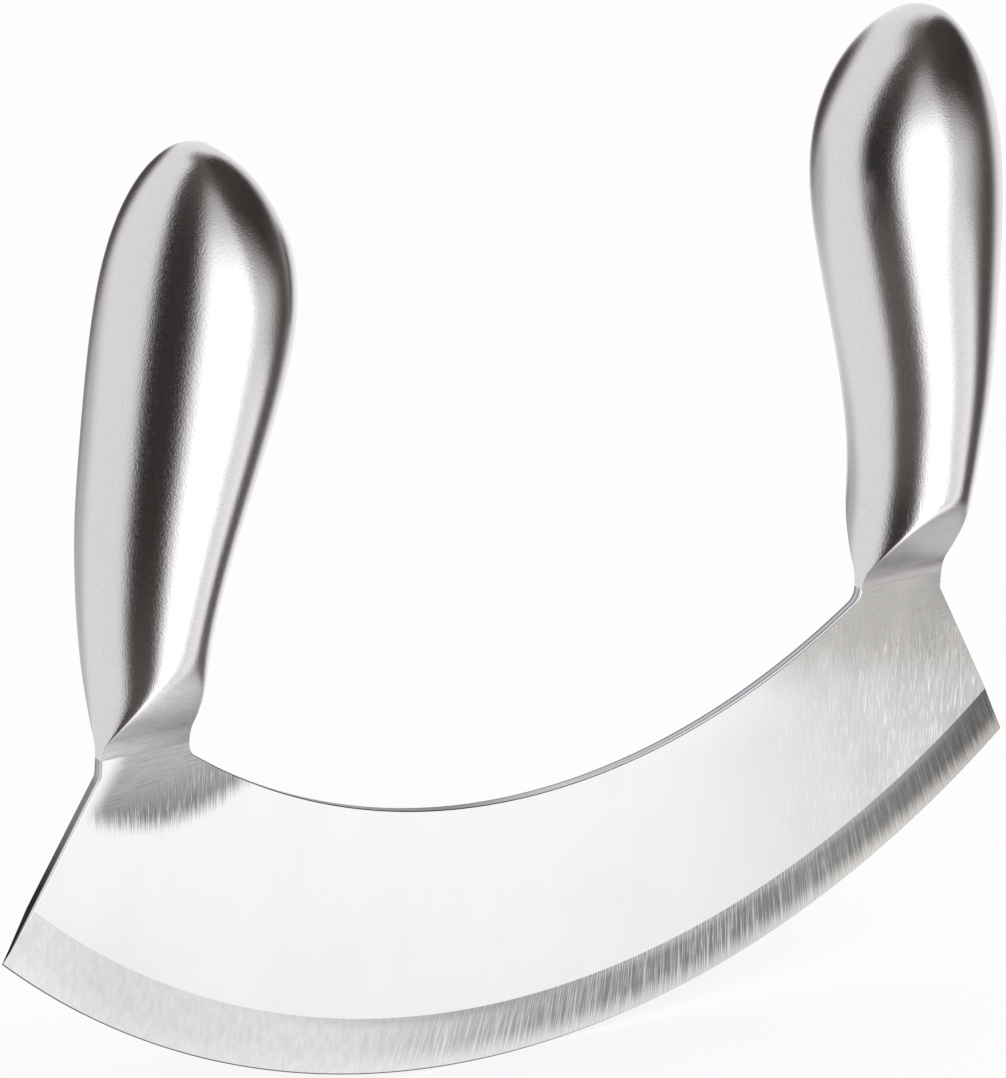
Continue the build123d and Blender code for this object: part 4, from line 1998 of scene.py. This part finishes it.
@dataclass(frozen=True)
class TentCloth:
    """The tent's cloth: white, with a wide dark gap, a soft box and a dimmer strip in it.

    The light is painted by bearing and rise, in degrees. Bearings grow to the right from the way
    that the camera stands, and rises grow upwards. A light of 1 is white.

    A lean says how far a border shifts with each degree of rise. Where there are two, the first
    holds above level and the second below it. The dusk is the light in the gap, the table lies
    below at the right, and the floor beside it.
    """

    back_gain: Ramp = Ramp(140.0, 165.0, 0.04)
    sky_shade: Ramp = Ramp(56.0, 80.0, 0.82)
    spots: tuple[Spot, ...] = (
        Spot(-142.0, -17.0, 30.0, 16.0, light=0.58),
        Spot(169.0, 4.0, 14.0, 17.0, light=1.7),
        Spot(-148.0, 1.0, 32.0, 20.0, light=0.08, climb=(0.76, 0.65)),
    )
    gap_start: Span = (-65.0, -59.0)
    gap_start_lean: float = 0.12
    gap_far: Span = (119.0, 138.0)
    gap_far_leans: Span = (0.45, 0.35)
    dusk: float = 0.042
    dusk_low: Ramp = Ramp(14.0, 44.0, 0.10)
    dusk_high: Ramp = Ramp(10.0, 70.0, 0.075)
    dusk_high_less: Ramp = Ramp(20.0, 70.0, 0.050)
    dusk_right: Ramp = Ramp(88.0, 112.0, 0.06)
    dusk_right_top: Span = (5.0, 30.0)
    screen_start_curve: float = 0.008
    strip_start: Span = (-22.0, 2.0)
    strip_end: Span = (71.0, 113.0)
    strip_leans: Span = (1.2, 0.1)
    strip_light: float = 0.86
    strip_fall: float = 0.016
    strip_top: Span = (20.0, 60.0)
    box_start: Span = (-22.0, 5.0)
    box_end: Span = (50.0, 64.0)
    box_lean: float = 0.6
    box_light: float = 1.75
    box_falls: tuple[Ramp, Ramp] = (Ramp(8.0, 40.0, 0.62), Ramp(38.0, 68.0, 0.31))
    table: tuple[float, float, float] = (66.0, 98.0, 10.0)
    table_top: Span = (-21.0, -14.5)
    table_slope: float = 0.15
    table_middle: float = 80.0
    table_light: float = 1.08
    table_gain: Ramp = Ramp(80.0, 92.0, 0.28)
    floor_top: Span = (-48.0, -38.0)
    floor_start: Span = (92.0, 104.0)
    floor_light: float = 0.66
    floor_gain: Ramp = Ramp(118.0, 140.0, 0.22)
    cool_light: Span = (0.0, 0.7)
    warm_tint: tuple[float, float, float, float] = (1.0, 0.86, 0.78, 1.0)
    cool_tint: tuple[float, float, float, float] = (0.995, 0.99, 1.0, 1.0)

    def light(self, bearing: Value, rise: Value) -> Value:
        """The cloth's light: the spots, the gap, the strip, the box, the table and the floor in turn.

        Args:
            bearing: The bearing of each place.
            rise: The rise of each place.

        Returns:
            The light.
        """
        high, low = rise.math("MAXIMUM", rise, 0.0), rise.math("MINIMUM", rise, 0.0) * -1.0
        light = 1.0 + self.back_gain.up(bearing.abs()) - self.sky_shade.up(rise)
        for spot in self.spots:
            light = spot.paint(light, bearing, rise)

        far = bearing - high * self.gap_far_leans[0] - low * self.gap_far_leans[1]
        gap = (bearing - low * self.gap_start_lean).step(*self.gap_start) * (1.0 - far.step(*self.gap_far))
        upwards = rise.step(self.dusk_high.low, self.dusk_high.high)
        dusk = self.dusk + self.dusk_low.up(low)
        dusk = dusk + upwards * (self.dusk_high.change - self.dusk_high_less.up(bearing))
        dusk = dusk + self.dusk_right.up(bearing) * (1.0 - rise.step(*self.dusk_right_top))
        light = light.toward(dusk, gap)

        start = bearing - low * low * self.screen_start_curve
        strip_edge = bearing + high * self.strip_leans[0] + low * self.strip_leans[1]
        strip = (1.0 - strip_edge.step(*self.strip_end)) * start.step(*self.strip_start)
        strip = strip * (1.0 - rise.step(*self.strip_top))
        light = light.toward(self.strip_light - high * self.strip_fall, strip)
        box_edge = bearing + high * self.box_lean
        box = start.step(*self.box_start) * (1.0 - box_edge.step(*self.box_end))
        fall = self.box_falls[0].up(rise) + self.box_falls[1].up(rise)
        light = light.toward(self.box_light * (1.0 - fall), box)

        top = rise + (bearing - self.table_middle) * self.table_slope
        table = (1.0 - top.step(*self.table_top)) * bearing.between(*self.table)
        light = light.toward(self.table_light + self.table_gain.up(bearing), table)
        floor = (1.0 - rise.step(*self.floor_top)) * bearing.step(*self.floor_start)
        return light.toward(self.floor_light + self.floor_gain.up(bearing), floor)

    def material(self, azimuth: float, radius: float, height: float) -> bpy.types.Material:
        """The cloth.

        Args:
            azimuth: The camera's turn about +Z from the front, in radians.
            radius: The tent's radius, in millimetres.
            height: The height of its middle, in millimetres.

        Returns:
            The material.
        """
        material, graph = new_material("tent_cloth")
        x, y, z = graph.coordinates()
        z = z - height
        across = x * math.cos(azimuth) + y * math.sin(azimuth)
        ahead = x * math.sin(azimuth) - y * math.cos(azimuth)
        bearing = across.math("ARCTAN2", across, ahead) * math.degrees(1.0)
        rise = z.math("ARCSINE", z / radius) * math.degrees(1.0)

        light = self.light(bearing, rise)
        tint = graph.mixed(light.step(*self.cool_light), self.warm_tint, self.cool_tint)
        glow = graph.node("ShaderNodeEmission", sockets={"Color": graph.tinted(tint, light), "Strength": 1.0})
        graph.end("ShaderNodeOutputMaterial", glow)
        return material


@dataclass
class Studio:
    """A plain pale floor, plain soft light, and a round light tent that the steel mirrors.

    Attributes:
        camera: The camera, from whose side the tent's bearings are counted.
        cloth: The tent's cloth.
        tent_radius: In metres, as are the other sizes of the studio.
        tent_grid: The tent's rows and columns of points.
        floor_grid: The floor's rings and columns of points.
        floor_glow: How far the floor is plain white to the camera. The rest keeps the shadow.
        world_level: The light of the world where it is neither seen nor mirrored.
        lamp_power: In watts.
    """

    camera: StudioCamera = field(default_factory=StudioCamera)
    cloth: TentCloth = field(default_factory=TentCloth)
    tent_radius: float = 1.0
    tent_height: float = 0.10
    tent_grid: tuple[int, int] = (65, 129)
    floor_radius: float = 4.0
    floor_grid: tuple[int, int] = (9, 97)
    floor_paint: tuple[float, float, float, float] = (0.93, 0.93, 0.93, 1.0)
    floor_glow: float = 0.78
    white: tuple[float, float, float, float] = (1.0, 1.0, 1.0, 1.0)
    world_level: float = 0.85
    lamp_size: Span = (1.6, 1.2)
    lamp_power: float = 9.0
    lamp_place: tuple[float, float, float] = (0.5, -0.9, 1.7)

    def build_floor(self) -> None:
        """The floor, a flat disc: white to the camera, and shaded where the knife keeps light off it.

        Its points lie on rings whose radius grows in equal steps.
        """
        radii, turns = self.floor_grid
        reaches = np.linspace(0.0, self.floor_radius, radii)
        reach, angle = np.meshgrid(reaches, np.linspace(0.0, 2.0 * math.pi, turns), indexing="ij")
        points = np.stack([reach * np.cos(angle), reach * np.sin(angle), np.zeros_like(reach)], -1)
        floor = make_piece("studio_floor", [Patch(points / MILLIMETRE, UP)], [])
        material, graph = new_material("pale_floor")
        seen = graph.value("ShaderNodeLightPath", output="Is Camera Ray") * self.floor_glow
        paint = graph.node("ShaderNodeBsdfDiffuse", sockets={"Color": self.floor_paint})
        glow = graph.node("ShaderNodeEmission", sockets={"Color": self.white, "Strength": 1.0})
        mixed = graph.node("ShaderNodeMixShader", sockets={0: seen, 1: paint.outputs[0], 2: glow.outputs[0]})
        graph.end("ShaderNodeOutputMaterial", mixed)
        floor.data.materials.append(material)
        floor.visible_glossy = False

    def build_world(self) -> None:
        """The world: white wherever it is seen or mirrored, and a plain level for everything else."""
        world = bpy.data.worlds.new("studio_world")
        world.use_nodes = True
        graph = Graph(world.node_tree)
        path = graph.node("ShaderNodeLightPath").outputs
        seen = Value(graph, path["Is Camera Ray"]) + Value(graph, path["Is Glossy Ray"])
        seen = (seen + Value(graph, path["Is Transmission Ray"])).clamp()
        sockets = {"Color": self.white, "Strength": self.world_level + seen * (1.0 - self.world_level)}
        background = graph.node("ShaderNodeBackground", sockets=sockets)
        graph.end("ShaderNodeOutputWorld", background)
        bpy.context.scene.world = world

    def build_tent(self) -> None:
        """The tent: a sphere that only mirrored rays see, drawn by its rise and its turn."""
        rows, columns = self.tent_grid
        rises = np.linspace(-math.pi / 2.0, math.pi / 2.0, rows)
        rise, turn = np.meshgrid(rises, np.linspace(0.0, 2.0 * math.pi, columns), indexing="ij")
        outward = np.stack([np.cos(rise) * np.cos(turn), np.cos(rise) * np.sin(turn), np.sin(rise)], -1)
        points = outward * self.tent_radius + (0.0, 0.0, self.tent_height)
        tent = make_piece("light_tent", [Patch(points / MILLIMETRE, -outward)], [])
        radius, height = self.tent_radius / MILLIMETRE, self.tent_height / MILLIMETRE
        tent.data.materials.append(self.cloth.material(self.camera.azimuth(), radius, height))
        tent.visible_camera = tent.visible_diffuse = tent.visible_shadow = False
        tent.visible_transmission = tent.visible_volume_scatter = False

    def build_lamp(self) -> None:
        """One wide soft lamp above and before the knife, which the steel doesn't mirror."""
        data = bpy.data.lights.new("soft_lamp", "AREA")
        data.shape, data.energy = "RECTANGLE", self.lamp_power
        data.size, data.size_y = self.lamp_size
        lamp = bpy.data.objects.new("soft_lamp", data)
        place = Vector(self.lamp_place)
        lamp.matrix_world = Matrix.Translation(place) @ place.to_track_quat("Z", "Y").to_matrix().to_4x4()
        lamp.visible_glossy = False
        bpy.context.scene.collection.objects.link(lamp)

    def build(self) -> None:
        """Sets up the camera, floor, world, tent and lamp."""
        self.camera.build()
        self.build_floor()
        self.build_world()
        self.build_tent()
        self.build_lamp()
        bpy.context.scene.view_settings.view_transform = "Standard"


def main() -> None:
    """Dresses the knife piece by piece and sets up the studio."""
    logging.basicConfig(level=logging.INFO, format="%(message)s")
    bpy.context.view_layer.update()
    satin = SatinSteel().material()
    Blade().build(BladeSteel().material(), CutEdgeSteel().material())
    neck = NeckSteel().material()
    for side in Side:
        Bolster(side).build(neck)
        for face in Face:
            Shell(side, face).build(satin)
        FillPlug(side).build(satin)
    cement = FillerCement().material()
    for side in Side:
        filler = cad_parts[f"{side.label}_filler"]
        filler.data.materials.clear()
        filler.data.materials.append(cement)
        log.info("%s: dressed in cement", filler.name)
    Studio().build()
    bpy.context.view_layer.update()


if __name__ == "__main__":
    main()
